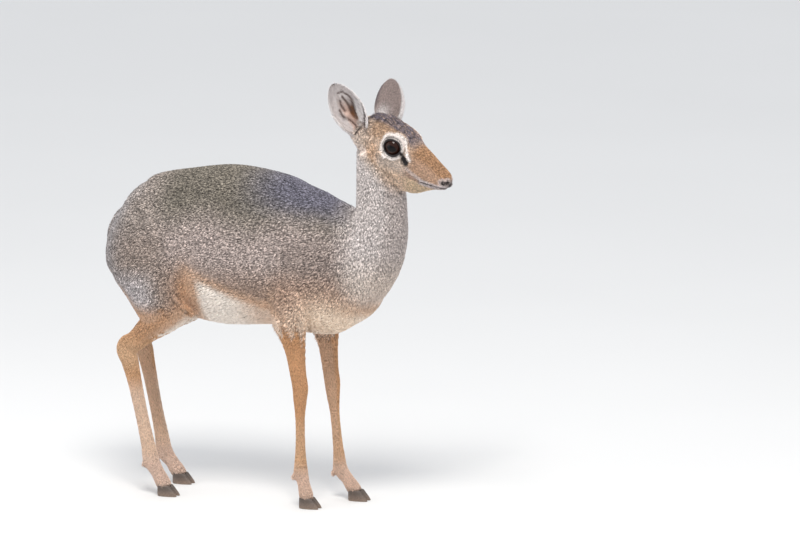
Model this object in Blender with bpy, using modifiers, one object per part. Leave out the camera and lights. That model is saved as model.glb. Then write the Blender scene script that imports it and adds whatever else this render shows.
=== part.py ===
"""A standing female Kirk's dik-dik, life size, as a still museum model.

Metres, +Z up. The animal faces +X, its left side is +Y, and its hooves stand on z = 0.
The trunk, neck, limbs and head are lofts through named cross-sections. They are fused into one
smooth body, which thin cuts then part where a person would name its parts.
"""

import math

import bmesh
import bpy
import numpy as np
from mathutils import Matrix, Vector

# What two touching pieces keep between them, and how fine the fused surfaces are
GAP = 0.0003
BODY_VOXEL = 0.0026
HEAD_VOXEL = 0.0012
BODY_SHARE = 0.043
HEAD_SHARE = 0.033
# Rounds of evening out: on the body, all of them count only above a height, and the limbs' below it
TRUNK_ROUNDS = 60
HEAD_ROUNDS = 30
LIMB_ROUNDS = 10
EVENING = 0.6
SOFT_ABOVE = 0.215
SOFT_BAND = 0.030

# Every table of sections gives x, y and z of the middle, then the reach towards the back, the belly
# and each side, then 2 for an ellipse or more for a squarer form. A leg's back is its front edge.
TRUNK = (
    (-0.184, 0, 0.293, 0.012, 0.012, 0.012, 2.0),
    (-0.180, 0, 0.293, 0.030, 0.020, 0.028, 2.1),
    (-0.170, 0, 0.293, 0.0500, 0.034, 0.042, 2.1),
    (-0.150, 0, 0.294, 0.0715, 0.052, 0.051, 2.1),
    (-0.120, 0, 0.298, 0.0890, 0.070, 0.0565, 2.1),
    (-0.088, 0, 0.302, 0.0990, 0.078, 0.060, 2.1),
    (-0.025, 0, 0.300, 0.1118, 0.0855, 0.0640, 2.15),
    (0.045, 0, 0.298, 0.1070, 0.0790, 0.0595, 2.1),
    (0.080, 0, 0.297, 0.0950, 0.0840, 0.0560, 2.1),
    (0.106, 0, 0.295, 0.0870, 0.0840, 0.0530, 2.0),
    (0.128, 0, 0.294, 0.0800, 0.0790, 0.0500, 2.0),
    (0.150, 0, 0.293, 0.0690, 0.0640, 0.0455, 2.0),
    (0.168, 0, 0.293, 0.0500, 0.0480, 0.0380, 2.0),
    (0.180, 0, 0.293, 0.0220, 0.0280, 0.0240, 2.0),
)
NECK = (
    (0.110, 0, 0.268, 0.055, 0.040, 0.046, 2.0),
    (0.138, 0, 0.288, 0.063, 0.048, 0.047, 2.0),
    (0.160, 0, 0.312, 0.050, 0.0435, 0.043, 2.0),
    (0.174, -0.001, 0.340, 0.0385, 0.0365, 0.0365, 2.0),
    (0.1790, -0.002, 0.372, 0.0315, 0.0312, 0.0305, 2.0),
    (0.178, -0.003, 0.400, 0.0298, 0.0300, 0.0285, 2.0),
    (0.176, -0.004, 0.425, 0.0275, 0.0280, 0.0265, 2.0),
    (0.173, -0.006, 0.448, 0.0235, 0.0240, 0.0225, 2.0),
    (0.170, -0.007, 0.463, 0.0170, 0.0180, 0.0170, 2.0),
)
THIGH = (
    (-0.114, 0.018, 0.372, 0.012, 0.012, 0.010, 2.0),
    (-0.118, 0.024, 0.352, 0.040, 0.034, 0.026, 2.0),
    (-0.119, 0.030, 0.322, 0.060, 0.050, 0.0310, 2.0),
    (-0.117, 0.034, 0.290, 0.066, 0.0530, 0.0320, 2.1),
    (-0.109, 0.035, 0.258, 0.059, 0.0395, 0.0300, 2.1),
    (-0.102, 0.036, 0.233, 0.044, 0.0310, 0.0250, 2.1),
    (-0.098, 0.036, 0.216, 0.022, 0.0270, 0.0160, 2.0),
)

# A leg's joints from the top down to the coronet, and its sections: place along the chain of joints
# (1.5 is half way between the second and the third), reach to the front, the rear and each side.
FORE_JOINTS = {
    "right": ((0.078, -0.034, 0.300), (0.0725, -0.036, 0.240), (0.0838, -0.0335, 0.149),
              (0.0853, -0.033, 0.0430), (0.0930, -0.033, 0.010)),
    "left": ((0.082, 0.034, 0.300), (0.0850, 0.036, 0.240), (0.0962, 0.0335, 0.145),
             (0.1085, 0.033, 0.0370), (0.1290, 0.033, 0.010)),
}
FORE_PROFILE = (
    (0.0, 0.028, 0.034, 0.0215),
    (1.0, 0.0235, 0.0255, 0.0205),
    (1.25, 0.0165, 0.0185, 0.0165),
    (1.5, 0.0122, 0.0125, 0.0120),
    (1.8, 0.0098, 0.0103, 0.0098),
    (2.0, 0.0102, 0.0092, 0.0096),
    (2.15, 0.0082, 0.0084, 0.0080),
    (2.35, 0.0054, 0.0066, 0.0058),
    (2.65, 0.0052, 0.0068, 0.0056),
    (2.85, 0.0064, 0.0082, 0.0068),
    (3.0, 0.0082, 0.0094, 0.0086),
    (3.4, 0.0072, 0.0074, 0.0080),
    (3.75, 0.0082, 0.0084, 0.0092),
    (4.0, 0.0080, 0.0084, 0.0094),
)
HIND_JOINTS = {
    "right": ((-0.070, -0.036, 0.250), (-0.1460, -0.0375, 0.180), (-0.1148, -0.037, 0.0425),
              (-0.0960, -0.037, 0.010)),
    "left": ((-0.070, 0.036, 0.250), (-0.1610, 0.0375, 0.179), (-0.1315, 0.037, 0.0385),
             (-0.1100, 0.037, 0.010)),
}
HIND_PROFILE = (
    (0.0, 0.026, 0.030, 0.026),
    (0.35, 0.023, 0.028, 0.020),
    (0.65, 0.0155, 0.0165, 0.0135),
    (0.85, 0.0125, 0.0130, 0.0110),
    (1.0, 0.0120, 0.0150, 0.0096),
    (1.12, 0.0100, 0.0120, 0.0090),
    (1.3, 0.0088, 0.0094, 0.0074),
    (1.6, 0.0078, 0.0086, 0.0064),
    (1.85, 0.0088, 0.0092, 0.0070),
    (2.0, 0.0098, 0.0108, 0.0086),
    (2.4, 0.0080, 0.0084, 0.0082),
    (2.75, 0.0088, 0.0090, 0.0092),
    (3.0, 0.0086, 0.0090, 0.0094),
)
DEWCLAW_RADIUS = 0.0024
DEWCLAW_REAR = 0.0095
DEWCLAW_SIDE = 0.0048

# The head has its own frame: middle between the eyes, x along the muzzle, y left, z up
EYE_MIDDLE = Vector((0.2142, -0.0144, 0.4549))
HEAD_TURN = math.radians(13)
HEAD_DIP = math.radians(22)
SKULL = (
    (-0.064, 0, -0.016, 0.010, 0.012, 0.010, 2.0),
    (-0.058, 0, -0.012, 0.0190, 0.018, 0.0180, 2.0),
    (-0.046, 0, -0.008, 0.0230, 0.024, 0.0225, 2.0),
    (-0.028, 0, -0.004, 0.0235, 0.037, 0.0245, 2.0),
    (-0.010, 0, -0.003, 0.0210, 0.047, 0.0245, 2.1),
    (0.006, 0, -0.004, 0.0205, 0.0500, 0.0230, 2.1),
    (0.022, 0, -0.006, 0.0190, 0.0490, 0.0190, 2.1),
    (0.038, 0, -0.009, 0.0188, 0.0400, 0.0155, 2.1),
    (0.052, 0, -0.0105, 0.0165, 0.0260, 0.0125, 2.2),
    (0.064, 0, -0.0115, 0.0145, 0.0148, 0.0112, 2.2),
    (0.0725, 0, -0.0115, 0.0115, 0.0095, 0.0098, 2.2),
    (0.0780, 0, -0.0105, 0.0070, 0.0065, 0.0070, 2.1),
    (0.0800, 0, -0.0105, 0.0030, 0.0035, 0.0035, 2.0),
)
JAW_NARROWING = 0.42
# Soft forms of brow, cheek, jaw muscle and muzzle, mirrored: middle, how far each fades out, height
SWELLINGS = (
    ((-0.002, 0.0160, 0.0140), (0.0170, 0.0090, 0.0070), 0.0018),
    ((0.008, 0.0190, -0.0140), (0.0220, 0.0100, 0.0070), 0.0016),
    ((-0.018, 0.0200, -0.0270), (0.0180, 0.0120, 0.0160), 0.0030),
    ((0.067, 0.0090, -0.0080), (0.0090, 0.0060, 0.0060), 0.0011),
)
EYE_RADIUS = 0.0116
EYE_BACK = -0.0045
EYE_SIDE = 0.0148
EYE_AIM = math.radians(20)
LID_THICKNESS = 0.0017
LID_OPENING = (0.0108, 0.0099)
# Mouth in the head's side view, corner first; its half width and depth, and how far the lips stand out
MOUTH = ((0.0455, -0.0240), (0.0580, -0.0218), (0.0700, -0.0192), (0.0770, -0.0170), (0.0860, -0.0160))
MOUTH_GROOVE = (0.0014, 0.0024)
MOUTH_END = 0.004
LIP_HEIGHT = 0.0007
NOSTRIL = ((0.0785, 0.0045, -0.0085), (0.0765, 0.0075, -0.0110), (0.0745, 0.0090, -0.0105))
NOSTRIL_GROOVE = (0.0026, 0.0034)
GLAND = ((0.0185, 0.0170, -0.0045), (0.0235, 0.0160, -0.0075))
GLAND_GROOVE = (0.0040, 0.0022)
# Within this distance of the mouth and nostrils the faces are kept, at this weight in the thinning
DETAIL_REACH = 0.005
DETAIL_HOLD = 0.04

# Crest on the crown: how far along the head its rows stand, how many locks each has, and their sizes
CREST_ROWS = ((0.014, 3), (0.006, 4), (-0.003, 5), (-0.012, 4), (-0.021, 5), (-0.030, 4))
CREST_SPREAD = 0.80
CREST_FAN = 0.35
CREST_STRAY = 0.12
LOCK_LENGTH = 0.0185
LOCK_HALF_WIDTH = 0.0042
LOCK_HALF_DEPTH = 0.0014
LOCK_RISE = 0.0050
LOCK_SINK = 0.0020
LOCK_SECTIONS = ((0.0, 0.80, 1.0), (0.35, 1.00, 1.0), (0.72, 0.72, 0.75), (1.0, 0.14, 0.30))
LOCK_SIDES = 6

# Ears: each stands on the skull along its own axis with its cup open towards its facing
EAR_ROOT = {"right": (-0.0480, -0.0200, -0.0090), "left": (-0.0420, 0.0250, -0.0075)}
EAR_AXIS = {"right": (-0.034, -0.038, 0.052), "left": (-0.040, 0.034, 0.037)}
EAR_FACING = {"right": (0.788, -0.611, 0.071), "left": (0.10, 0.75, -0.45)}
EAR_LENGTH = {"right": 0.080, "left": 0.073}
EAR_STUMP = (0.0128, 0.0108, 0.0150)
EAR_STUMP_SINK = 0.0060
EAR_PLUG = (0.0108, 0.0066, 0.0060)
EAR_WALL = 0.0018
EAR_CUP = 0.62
# Share of the ear's length, half width there, and how far round the cup reaches, in radians
EAR_PROFILE = (
    (-0.12, 0.0100, 2.50),
    (0.00, 0.0108, 2.40),
    (0.14, 0.0120, 2.20),
    (0.30, 0.0168, 1.90),
    (0.50, 0.0190, 1.64),
    (0.70, 0.0165, 1.45),
    (0.86, 0.0116, 1.30),
    (0.96, 0.0058, 1.20),
    (1.00, 0.0016, 1.15),
)

# Tail, which hangs in the valley between the haunches
TAIL = (
    (-0.166, 0, 0.345, 0.0060, 0.0080, 0.0090, 2.0),
    (-0.178, 0, 0.336, 0.0060, 0.0070, 0.0100, 2.0),
    (-0.1865, 0, 0.322, 0.0055, 0.0060, 0.0095, 2.0),
    (-0.1895, 0, 0.306, 0.0045, 0.0048, 0.0080, 2.0),
    (-0.1900, 0, 0.292, 0.0028, 0.0028, 0.0050, 2.0),
    (-0.1895, 0, 0.284, 0.0010, 0.0010, 0.0015, 2.0),
)

# Feet: two claws each. Height, half length, half width and setback of a claw's sections
CORONET = 0.0130
CLAW_SPREAD = 0.0049
CLAW_TAPER = 0.30
CLAW_FORWARD = 0.0045
CLAW_PROFILE = (
    (0.0000, 0.0128, 0.0043, 0.0000),
    (0.0035, 0.0121, 0.0044, -0.0010),
    (0.0090, 0.0098, 0.0043, -0.0032),
    (CORONET, 0.0080, 0.0041, -0.0048),
)

# Cuts: the leg outlines in the side view, how far from the midline they start, and the two neck planes
HAUNCH_OUTLINE = ((-0.038, -0.02), (-0.038, 0.236), (-0.052, 0.278), (-0.090, 0.322), (-0.130, 0.340),
                  (-0.166, 0.322), (-0.230, 0.290), (-0.230, -0.02))
FORELEG_OUTLINE = ((0.030, -0.02), (0.030, 0.232), (0.060, 0.240), (0.100, 0.240), (0.165, 0.226),
                   (0.165, -0.02))
LEG_INSIDE = 0.0085
LEG_OUTSIDE = 0.110
SHANK_TOP = {"fore_right": 0.149, "fore_left": 0.145, "hind_right": 0.176, "hind_left": 0.174}
HEAD_CUT = ((0.178, 0, 0.425), (0.669, 0, 0.743))
NECK_CUT = ((0.160, 0, 0.330), (0.900, 0, 0.433))
CUT_SIZE = 0.5

COLOURS = {
    "coat": ((0.30, 0.25, 0.20), 0.85),
    "leg": ((0.42, 0.25, 0.14), 0.85),
    "ear": ((0.35, 0.29, 0.24), 0.85),
    "eye": ((0.010, 0.007, 0.005), 0.08),
    "horn": ((0.030, 0.026, 0.023), 0.45),
}


def clear_scene():
    for thing in list(bpy.data.objects):
        bpy.data.objects.remove(thing, do_unlink=True)


def collection(name, cutters=False):
    group = bpy.data.collections.new(name)
    bpy.context.scene.collection.children.link(group)
    group.hide_render = cutters
    return group


def material(name):
    colour, roughness = COLOURS[name]
    made = bpy.data.materials.get(name) or bpy.data.materials.new(name)
    made.use_nodes = True
    shader = made.node_tree.nodes["Principled BSDF"]
    shader.inputs["Base Color"].default_value = (*colour, 1)
    shader.inputs["Roughness"].default_value = roughness
    shader.inputs["Metallic"].default_value = 0
    return made


def add_object(name, mesh, group):
    made = bpy.data.objects.new(name, mesh)
    group.objects.link(made)
    return made


def mesh_from(name, points, faces):
    mesh = bpy.data.meshes.new(name)
    mesh.from_pydata([tuple(p) for p in points], [], [tuple(f) for f in faces])
    mesh.update()
    return mesh


def through(rows, steps):
    """Rows read from the smooth curve that passes through each row of a table, steps to an interval."""
    rows = np.asarray(rows, float)
    padded = np.vstack([2 * rows[0] - rows[1], rows, 2 * rows[-1] - rows[-2]])
    t = np.linspace(0, 1, steps, endpoint=False)[:, None]
    parts = []
    for before, a, b, after in zip(padded, padded[1:], padded[2:], padded[3:]):
        slope_a = (b - before) / 2
        slope_b = (after - a) / 2
        parts.append(
            (2 * t**3 - 3 * t**2 + 1) * a
            + (t**3 - 2 * t**2 + t) * slope_a
            + (3 * t**2 - 2 * t**3) * b
            + (t**3 - t**2) * slope_b
        )
    return np.vstack([*parts, rows[-1:]])


def tube_faces(rings, sides):
    """Side faces of a closed tube, and its two end faces."""
    faces = []
    for ring in range(rings - 1):
        for side in range(sides):
            a = ring * sides + side
            b = ring * sides + (side + 1) % sides
            faces.append((a, b, b + sides, a + sides))
    faces.append(tuple(range(sides))[::-1])
    faces.append(tuple(range((rings - 1) * sides, rings * sides)))
    return faces


def loft(rows, steps=6, sides=28, narrowing=0.0):
    """Points and faces of a closed tube whose sections are squared ellipses square to its path."""
    rows = through(rows, steps)
    middle = rows[:, :3]
    reach_back, reach_belly, reach_side = np.maximum(rows[:, 3:6], 0.0004).T
    power = 2 / rows[:, 6]
    along = np.gradient(middle, axis=0)
    along /= np.linalg.norm(along, axis=1)[:, None]
    side = np.array([0.0, 1.0, 0.0]) - along * along[:, 1:2]
    side /= np.linalg.norm(side, axis=1)[:, None]
    back = np.cross(along, side)
    angle = np.linspace(0, 2 * np.pi, sides, endpoint=False)
    c = np.cos(angle)
    s = np.sin(angle)
    up = np.sign(c) * np.abs(c) ** power[:, None]
    out = np.sign(s) * np.abs(s) ** power[:, None]
    up *= np.where(c > 0, reach_back[:, None], reach_belly[:, None])
    out *= reach_side[:, None] * (1 - narrowing * np.clip(-c, 0, 1) ** 2)
    points = middle[:, None] + up[..., None] * back[:, None] + out[..., None] * side[:, None]
    return points.reshape(-1, 3), tube_faces(len(rows), sides)


def leg_rows(joints, profile):
    """Loft rows of a leg: its profile's places along the chain of joints, with the reaches there."""
    joints = np.array(joints)
    places = np.array([row[0] for row in profile])
    middle = [np.interp(places, range(len(joints)), joints[:, axis]) for axis in range(3)]
    reaches = np.array([row[1:] for row in profile])
    return np.column_stack([*middle, reaches, np.full(len(places), 2.0)])


def ball(middle, radii, sides=24, turn=None):
    """Points and faces of an ellipsoid."""
    made = bmesh.new()
    bmesh.ops.create_uvsphere(made, u_segments=sides, v_segments=sides // 2, radius=1)
    placed = Matrix.Translation(middle) @ (turn or Matrix()) @ Matrix.Diagonal((*radii, 1))
    bmesh.ops.transform(made, matrix=placed, verts=made.verts)
    points = np.array([v.co for v in made.verts])
    faces = [tuple(v.index for v in f.verts) for f in made.faces]
    made.free()
    return points, faces


def head_frame():
    """Matrix from the head's own frame to the world."""
    turned = Matrix.Rotation(-HEAD_TURN, 4, "Z") @ Matrix.Rotation(HEAD_DIP, 4, "Y")
    return Matrix.Translation(EYE_MIDDLE) @ turned


def to_world(points):
    frame = np.array(head_frame())
    return np.asarray(points) @ frame[:3, :3].T + frame[:3, 3]


def joined(name, shapes):
    """One mesh that holds several closed shapes."""
    points = []
    faces = []
    for shape_points, shape_faces in shapes:
        start = sum(len(p) for p in points)
        points.append(shape_points)
        faces += [tuple(start + i for i in face) for face in shape_faces]
    return mesh_from(name, np.vstack(points), faces)


def evaluated(thing):
    """The object's mesh with its modifiers applied."""
    bpy.context.view_layer.update()
    graph = bpy.context.evaluated_depsgraph_get()
    return bpy.data.meshes.new_from_object(thing.evaluated_get(graph))


def bake(thing):
    """Applies an object's modifiers."""
    mesh = evaluated(thing)
    thing.modifiers.clear()
    thing.data = mesh
    return thing


def points_of(mesh):
    points = np.empty(len(mesh.vertices) * 3, np.float32)
    mesh.vertices.foreach_get("co", points)
    return points.reshape(-1, 3).astype(float)


def set_points(mesh, points):
    mesh.vertices.foreach_set("co", np.asarray(points, np.float32).ravel())
    mesh.update()


def relax(mesh, rounds, strength, soft_above=None):
    """Evens the surface out, each round drawing points to their neighbours and then back out.

    Above a height, if one is given, all rounds count, and below it only the first few.
    """
    points = points_of(mesh)
    share = np.ones((len(points), 1))
    if soft_above is not None:
        share = np.clip((points[:, 2:3] - soft_above) / SOFT_BAND, 0, 1)
    edges = np.empty(len(mesh.edges) * 2, np.int32)
    mesh.edges.foreach_get("vertices", edges)
    a, b = edges.reshape(-1, 2).T
    count = np.bincount(np.concatenate([a, b]), minlength=len(points))[:, None]
    for turn in range(rounds):
        total = np.zeros_like(points)
        for axis in range(3):
            total[:, axis] = np.bincount(a, points[b, axis], len(points))
            total[:, axis] += np.bincount(b, points[a, axis], len(points))
        factor = strength if turn % 2 == 0 else -1.03 * strength
        if turn >= LIMB_ROUNDS:
            factor = factor * share
        points += factor * (total / count - points)
    set_points(mesh, points)


def fused(name, shapes, voxel, rounds, group, soft_above=None):
    """Several overlapping closed shapes as one smooth closed body."""
    body = add_object(name, joined(name, shapes), group)
    remesh = body.modifiers.new("Fuse", "REMESH")
    remesh.mode = "VOXEL"
    remesh.voxel_size = voxel
    bake(body)
    relax(body.data, rounds, EVENING, soft_above)
    return body


def to_head(points):
    """World points in the head's own frame."""
    frame = np.array(head_frame().inverted())
    return points @ frame[:3, :3].T + frame[:3, 3]


def away_from(points, line):
    """Distance from each point to a smooth line, either of them in space or in the side view."""
    places = through(line, 10)
    return np.min(np.linalg.norm(points[:, None] - places[None], axis=2), axis=1)


def thinned(body, share, away=None):
    """Fewer, larger faces where the surface is plain, with those near the fine details kept."""
    fewer = body.modifiers.new("Fewer faces", "DECIMATE")
    fewer.ratio = share
    if away is not None:
        plain = body.vertex_groups.new(name="plain")
        weights = np.clip(np.round(away / DETAIL_REACH, 1), DETAIL_HOLD, 1)
        for weight in np.unique(weights):
            plain.add(np.nonzero(weights == weight)[0].tolist(), float(weight), "REPLACE")
        fewer.vertex_group = plain.name
    fewer.use_collapse_triangulate = True
    return bake(body)


def normals_of(mesh):
    normals = np.empty(len(mesh.vertices) * 3, np.float32)
    mesh.vertices.foreach_get("normal", normals)
    return normals.reshape(-1, 3).astype(float)


def groove(away, radius, depth):
    """Depth of a soft furrow at a distance from its middle line."""
    return depth * np.clip(1 - (away / radius) ** 2, 0, 1) ** 2


def shape_face(head):
    """Moves the head's surface in or out for its soft forms, mouth, lips, nostrils and tear glands.

    Returns each point's distance to the nearest of the mouth and the nostrils.
    """
    points = to_head(points_of(head.data))
    folded = points * (1, 0, 1) + np.abs(points) * (0, 1, 0)
    out = np.zeros(len(points))
    for middle, fade, height in SWELLINGS:
        out += height * np.exp(-np.sum(((folded - middle) / fade) ** 2, axis=1))
    mouth = away_from(points[:, [0, 2]], MOUTH)
    nostril = away_from(folded, NOSTRIL)
    radius, depth = MOUTH_GROOVE
    ahead = np.clip((points[:, 0] - MOUTH[0][0]) / MOUTH_END + 1, 0, 1)
    out += ahead * LIP_HEIGHT * np.exp(-(((mouth - 2 * radius) / radius) ** 2))
    out -= groove(mouth, radius, depth)
    out -= groove(nostril, *NOSTRIL_GROOVE)
    out -= groove(away_from(folded, GLAND), *GLAND_GROOVE)
    set_points(head.data, points_of(head.data) + normals_of(head.data) * out[:, None])
    return np.minimum(mouth, nostril)


def largest(thing):
    """Keeps only the largest closed surface of a mesh."""
    made = bmesh.new()
    made.from_mesh(thing.data)
    bmesh.ops.triangulate(made, faces=made.faces)
    left = set(made.verts)
    pieces = []
    while left:
        piece = set()
        stack = [left.pop()]
        while stack:
            vertex = stack.pop()
            piece.add(vertex)
            for edge in vertex.link_edges:
                other = edge.other_vert(vertex)
                if other in left:
                    left.remove(other)
                    stack.append(other)
        pieces.append(piece)
    pieces.sort(key=len)
    for piece in pieces[:-1]:
        bmesh.ops.delete(made, geom=list(piece), context="VERTS")
    made.to_mesh(thing.data)
    made.free()
    return thing


def combine(thing, other, operation, solver="EXACT"):
    """Cuts one mesh by another, or joins them, and keeps the largest body."""
    step = thing.modifiers.new(operation.title(), "BOOLEAN")
    step.operation = operation
    step.object = other
    step.solver = solver
    return largest(bake(thing))


def prism(name, outline, low, high, cutters):
    """A closed slab with an outline in the side view, from one side distance to another."""
    points = [(x, y, z) for y in (low, high) for x, z in outline]
    made = mesh_from(name, points, tube_faces(2, len(outline)))
    return cutter(name, made, cutters)


def outward_faces(mesh):
    """The same closed mesh with every face turned to point out."""
    made = bmesh.new()
    made.from_mesh(mesh)
    bmesh.ops.recalc_face_normals(made, faces=made.faces)
    made.to_mesh(mesh)
    made.free()
    return mesh


def cutter(name, mesh, cutters):
    made = add_object(name, outward_faces(mesh), cutters)
    made.hide_render = True
    made.display_type = "WIRE"
    return made


def block(name, point, normal, cutters):
    """A large box on one side of a plane."""
    made = bmesh.new()
    bmesh.ops.create_cube(made, size=CUT_SIZE)
    turn = Vector(normal).to_track_quat("Z", "Y").to_matrix().to_4x4()
    placed = Matrix.Translation(point) @ turn @ Matrix.Translation((0, 0, CUT_SIZE / 2))
    bmesh.ops.transform(made, matrix=placed, verts=made.verts)
    mesh = bpy.data.meshes.new(name)
    made.to_mesh(mesh)
    made.free()
    return cutter(name, mesh, cutters)


def grown(name, thing, by, cutters):
    """A copy of a body whose surface stands further out all over."""
    mesh = thing.data.copy()
    set_points(mesh, points_of(mesh) + by * normals_of(mesh))
    return cutter(name, mesh, cutters)


def split(thing, name, tool, group, cutters):
    """Takes the part of a body inside a cutter as a new node, with a thin gap to the rest."""
    part = add_object(name, thing.data.copy(), group)
    combine(part, tool, "INTERSECT")
    combine(thing, grown(tool.name + "_gap", tool, GAP * math.sqrt(3), cutters), "DIFFERENCE")
    return part


def body_shapes():
    shapes = [loft(TRUNK), loft(NECK)]
    for side, sign in (("right", -1), ("left", 1)):
        shapes.append(loft([(x, sign * y, z, *rest) for x, y, z, *rest in THIGH]))
        shapes.append(loft(leg_rows(HIND_JOINTS[side], HIND_PROFILE), steps=5, sides=20))
        shapes.append(loft(leg_rows(FORE_JOINTS[side], FORE_PROFILE), steps=5, sides=20))
        for joints in (HIND_JOINTS[side], FORE_JOINTS[side]):
            fetlock = Vector(joints[-2])
            for way in (-1, 1):
                place = fetlock + Vector((-DEWCLAW_REAR, way * DEWCLAW_SIDE, -DEWCLAW_SIDE))
                radii = (DEWCLAW_RADIUS, DEWCLAW_RADIUS, 1.8 * DEWCLAW_RADIUS)
                shapes.append(ball(place, radii, 10))
    return shapes


def eye_place(sign):
    return Vector((EYE_BACK, sign * EYE_SIDE, 0))


def ear_turn(side):
    """Turn whose x lies across the ear, y towards the side its cup faces and z along it."""
    axis = Vector(EAR_AXIS[side]).normalized()
    facing = Vector(EAR_FACING[side])
    facing = (facing - axis * facing.dot(axis)).normalized()
    return Matrix((facing.cross(axis), facing, axis)).transposed().to_4x4()


def head_shapes():
    skull_points, skull_faces = loft(SKULL, steps=6, sides=36, narrowing=JAW_NARROWING)
    shapes = [(skull_points, skull_faces)]
    lid_ball = [EYE_RADIUS + LID_THICKNESS] * 3
    for sign in (-1, 1):
        shapes.append(ball(eye_place(sign), lid_ball, 32))
    for side in ("right", "left"):
        sunk = Vector(EAR_ROOT[side]) - Vector(EAR_AXIS[side]).normalized() * EAR_STUMP_SINK
        shapes.append(ball(sunk, EAR_STUMP, 24, ear_turn(side)))
    return [(to_world(points), faces) for points, faces in shapes] + [loft(NECK)]


def almond(sign, cutters):
    """The opening between the lids: an outline pointed at both corners, carried straight outwards."""
    half_length, half_height = LID_OPENING
    turns = np.linspace(0, 2 * np.pi, 24, endpoint=False)
    across = half_length * np.cos(turns)
    upright = half_height * np.sin(turns) * np.abs(np.sin(turns)) ** 0.15
    aim = Matrix.Rotation(-sign * EYE_AIM, 4, "Z")
    points = []
    for out in (0.004, 0.030):
        for x, z in zip(across, upright):
            points.append(eye_place(sign) + aim @ Vector((x, sign * out, z)))
    mesh = mesh_from("opening", to_world(points), tube_faces(2, len(turns)))
    return cutter("eye_opening", mesh, cutters)


def on_skull(x, turn):
    """A point on the skull and its outward way, from a distance along it and a turn from the top."""
    rows = np.array(SKULL)
    _, z, back, _, side = [np.interp(x, rows[:, 0], rows[:, column]) for column in range(1, 6)]
    outward = Vector((0, math.sin(turn) / side, math.cos(turn) / back)).normalized()
    return Vector((x, side * math.sin(turn), z + back * math.cos(turn))), outward


def lock(root, outward, way, size):
    """A flat tapered lock: six-sided sections along a curve that leaves the skin and bends back over it."""
    across = outward.cross(way).normalized()
    turns = np.linspace(0, 2 * np.pi, LOCK_SIDES, endpoint=False)
    points = []
    for place, width, depth in LOCK_SECTIONS:
        lift = LOCK_RISE * size * (1.6 * place - 0.6 * place**2) - LOCK_SINK
        middle = root + way * (LOCK_LENGTH * size * place) + outward * lift
        for turn in turns:
            out = across * (LOCK_HALF_WIDTH * width * math.cos(turn))
            points.append(middle + out + outward * (LOCK_HALF_DEPTH * depth * math.sin(turn)))
    return to_world(points), tube_faces(len(LOCK_SECTIONS), LOCK_SIDES)


def add_crest(head):
    """Rows of locks over the crown, lying back towards the ears and overlapping like shingles."""
    locks = bpy.data.collections.new("crest_locks")
    bpy.context.scene.collection.children.link(locks)
    draw = np.random.default_rng(7)
    for x, count in CREST_ROWS:
        for turn in np.linspace(-1, 1, count) * CREST_SPREAD * (count - 1) / 4:
            root, outward = on_skull(x + draw.uniform(-0.001, 0.001), turn)
            sideways = CREST_FAN * turn + draw.uniform(-CREST_STRAY, CREST_STRAY)
            way = Vector((-1, sideways, 0)).normalized()
            way = (way - outward * way.dot(outward)).normalized()
            shape = mesh_from("lock", *lock(root, outward, way, draw.uniform(0.85, 1.1)))
            made = add_object("lock", outward_faces(shape), locks)
            made.hide_render = True
    join = head.modifiers.new("Crest", "BOOLEAN")
    join.operation = "UNION"
    join.operand_type = "COLLECTION"
    join.collection = locks
    join.solver = "EXACT"
    largest(bake(head))
    for made in list(locks.objects):
        bpy.data.objects.remove(made, do_unlink=True)
    bpy.data.collections.remove(locks)


def make_head(group, cutters):
    head = fused("head", head_shapes(), HEAD_VOXEL, HEAD_ROUNDS, group)
    thinned(head, HEAD_SHARE, shape_face(head))
    combine(head, block("head_side", *HEAD_CUT, cutters), "INTERSECT")
    add_crest(head)
    for sign, side in ((-1, "right"), (1, "left")):
        centre = to_world([eye_place(sign)])[0]
        socket = joined("socket", [ball(centre, [EYE_RADIUS + GAP] * 3, 24)])
        combine(head, almond(sign, cutters), "DIFFERENCE")
        combine(head, cutter("socket_" + side, socket, cutters), "DIFFERENCE")
        eye = add_object("eye_" + side, joined("eye", [ball(centre, [EYE_RADIUS] * 3, 20)]), group)
        eye.data.materials.append(material("eye"))
        eye.data.shade_smooth()
    return head


def ear_surface(side):
    """Grid of points of the ear's cup: arcs that narrow and open from the root to the tip."""
    root = Vector(EAR_ROOT[side])
    across, facing, axis = ear_turn(side).to_3x3().transposed()
    rows = through(EAR_PROFILE, 2)
    turns = np.linspace(-1, 1, 11)
    angle = rows[:, 2:3] * turns
    out = rows[:, 1:2] * np.sin(angle)
    deep = -EAR_CUP * rows[:, 1:2] * np.cos(angle)
    along = EAR_LENGTH[side] * rows[:, 0:1] * np.ones_like(angle)
    local = np.array(root) + along[..., None] * np.array(axis)
    local = local + out[..., None] * np.array(across) + deep[..., None] * np.array(facing)
    return local, root


def make_ear(side, head, group, cutters):
    local, root = ear_surface(side)
    rows, columns = local.shape[:2]
    faces = []
    for row in range(rows - 1):
        for column in range(columns - 1):
            a = row * columns + column
            faces.append((a, a + 1, a + columns + 1, a + columns))
    ear = add_object("ear_" + side, mesh_from("ear", to_world(local.reshape(-1, 3)), faces), group)
    wall = ear.modifiers.new("Wall", "SOLIDIFY")
    wall.thickness = EAR_WALL
    wall.offset = 0
    bake(ear)
    plug_points, plug_faces = ball(root, EAR_PLUG, 12, ear_turn(side))
    plug = cutter("ear_plug_" + side, mesh_from("plug", to_world(plug_points), plug_faces), cutters)
    combine(ear, plug, "UNION")
    combine(ear, grown("head_skin_" + side, head, GAP, cutters), "DIFFERENCE")
    return ear


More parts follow.
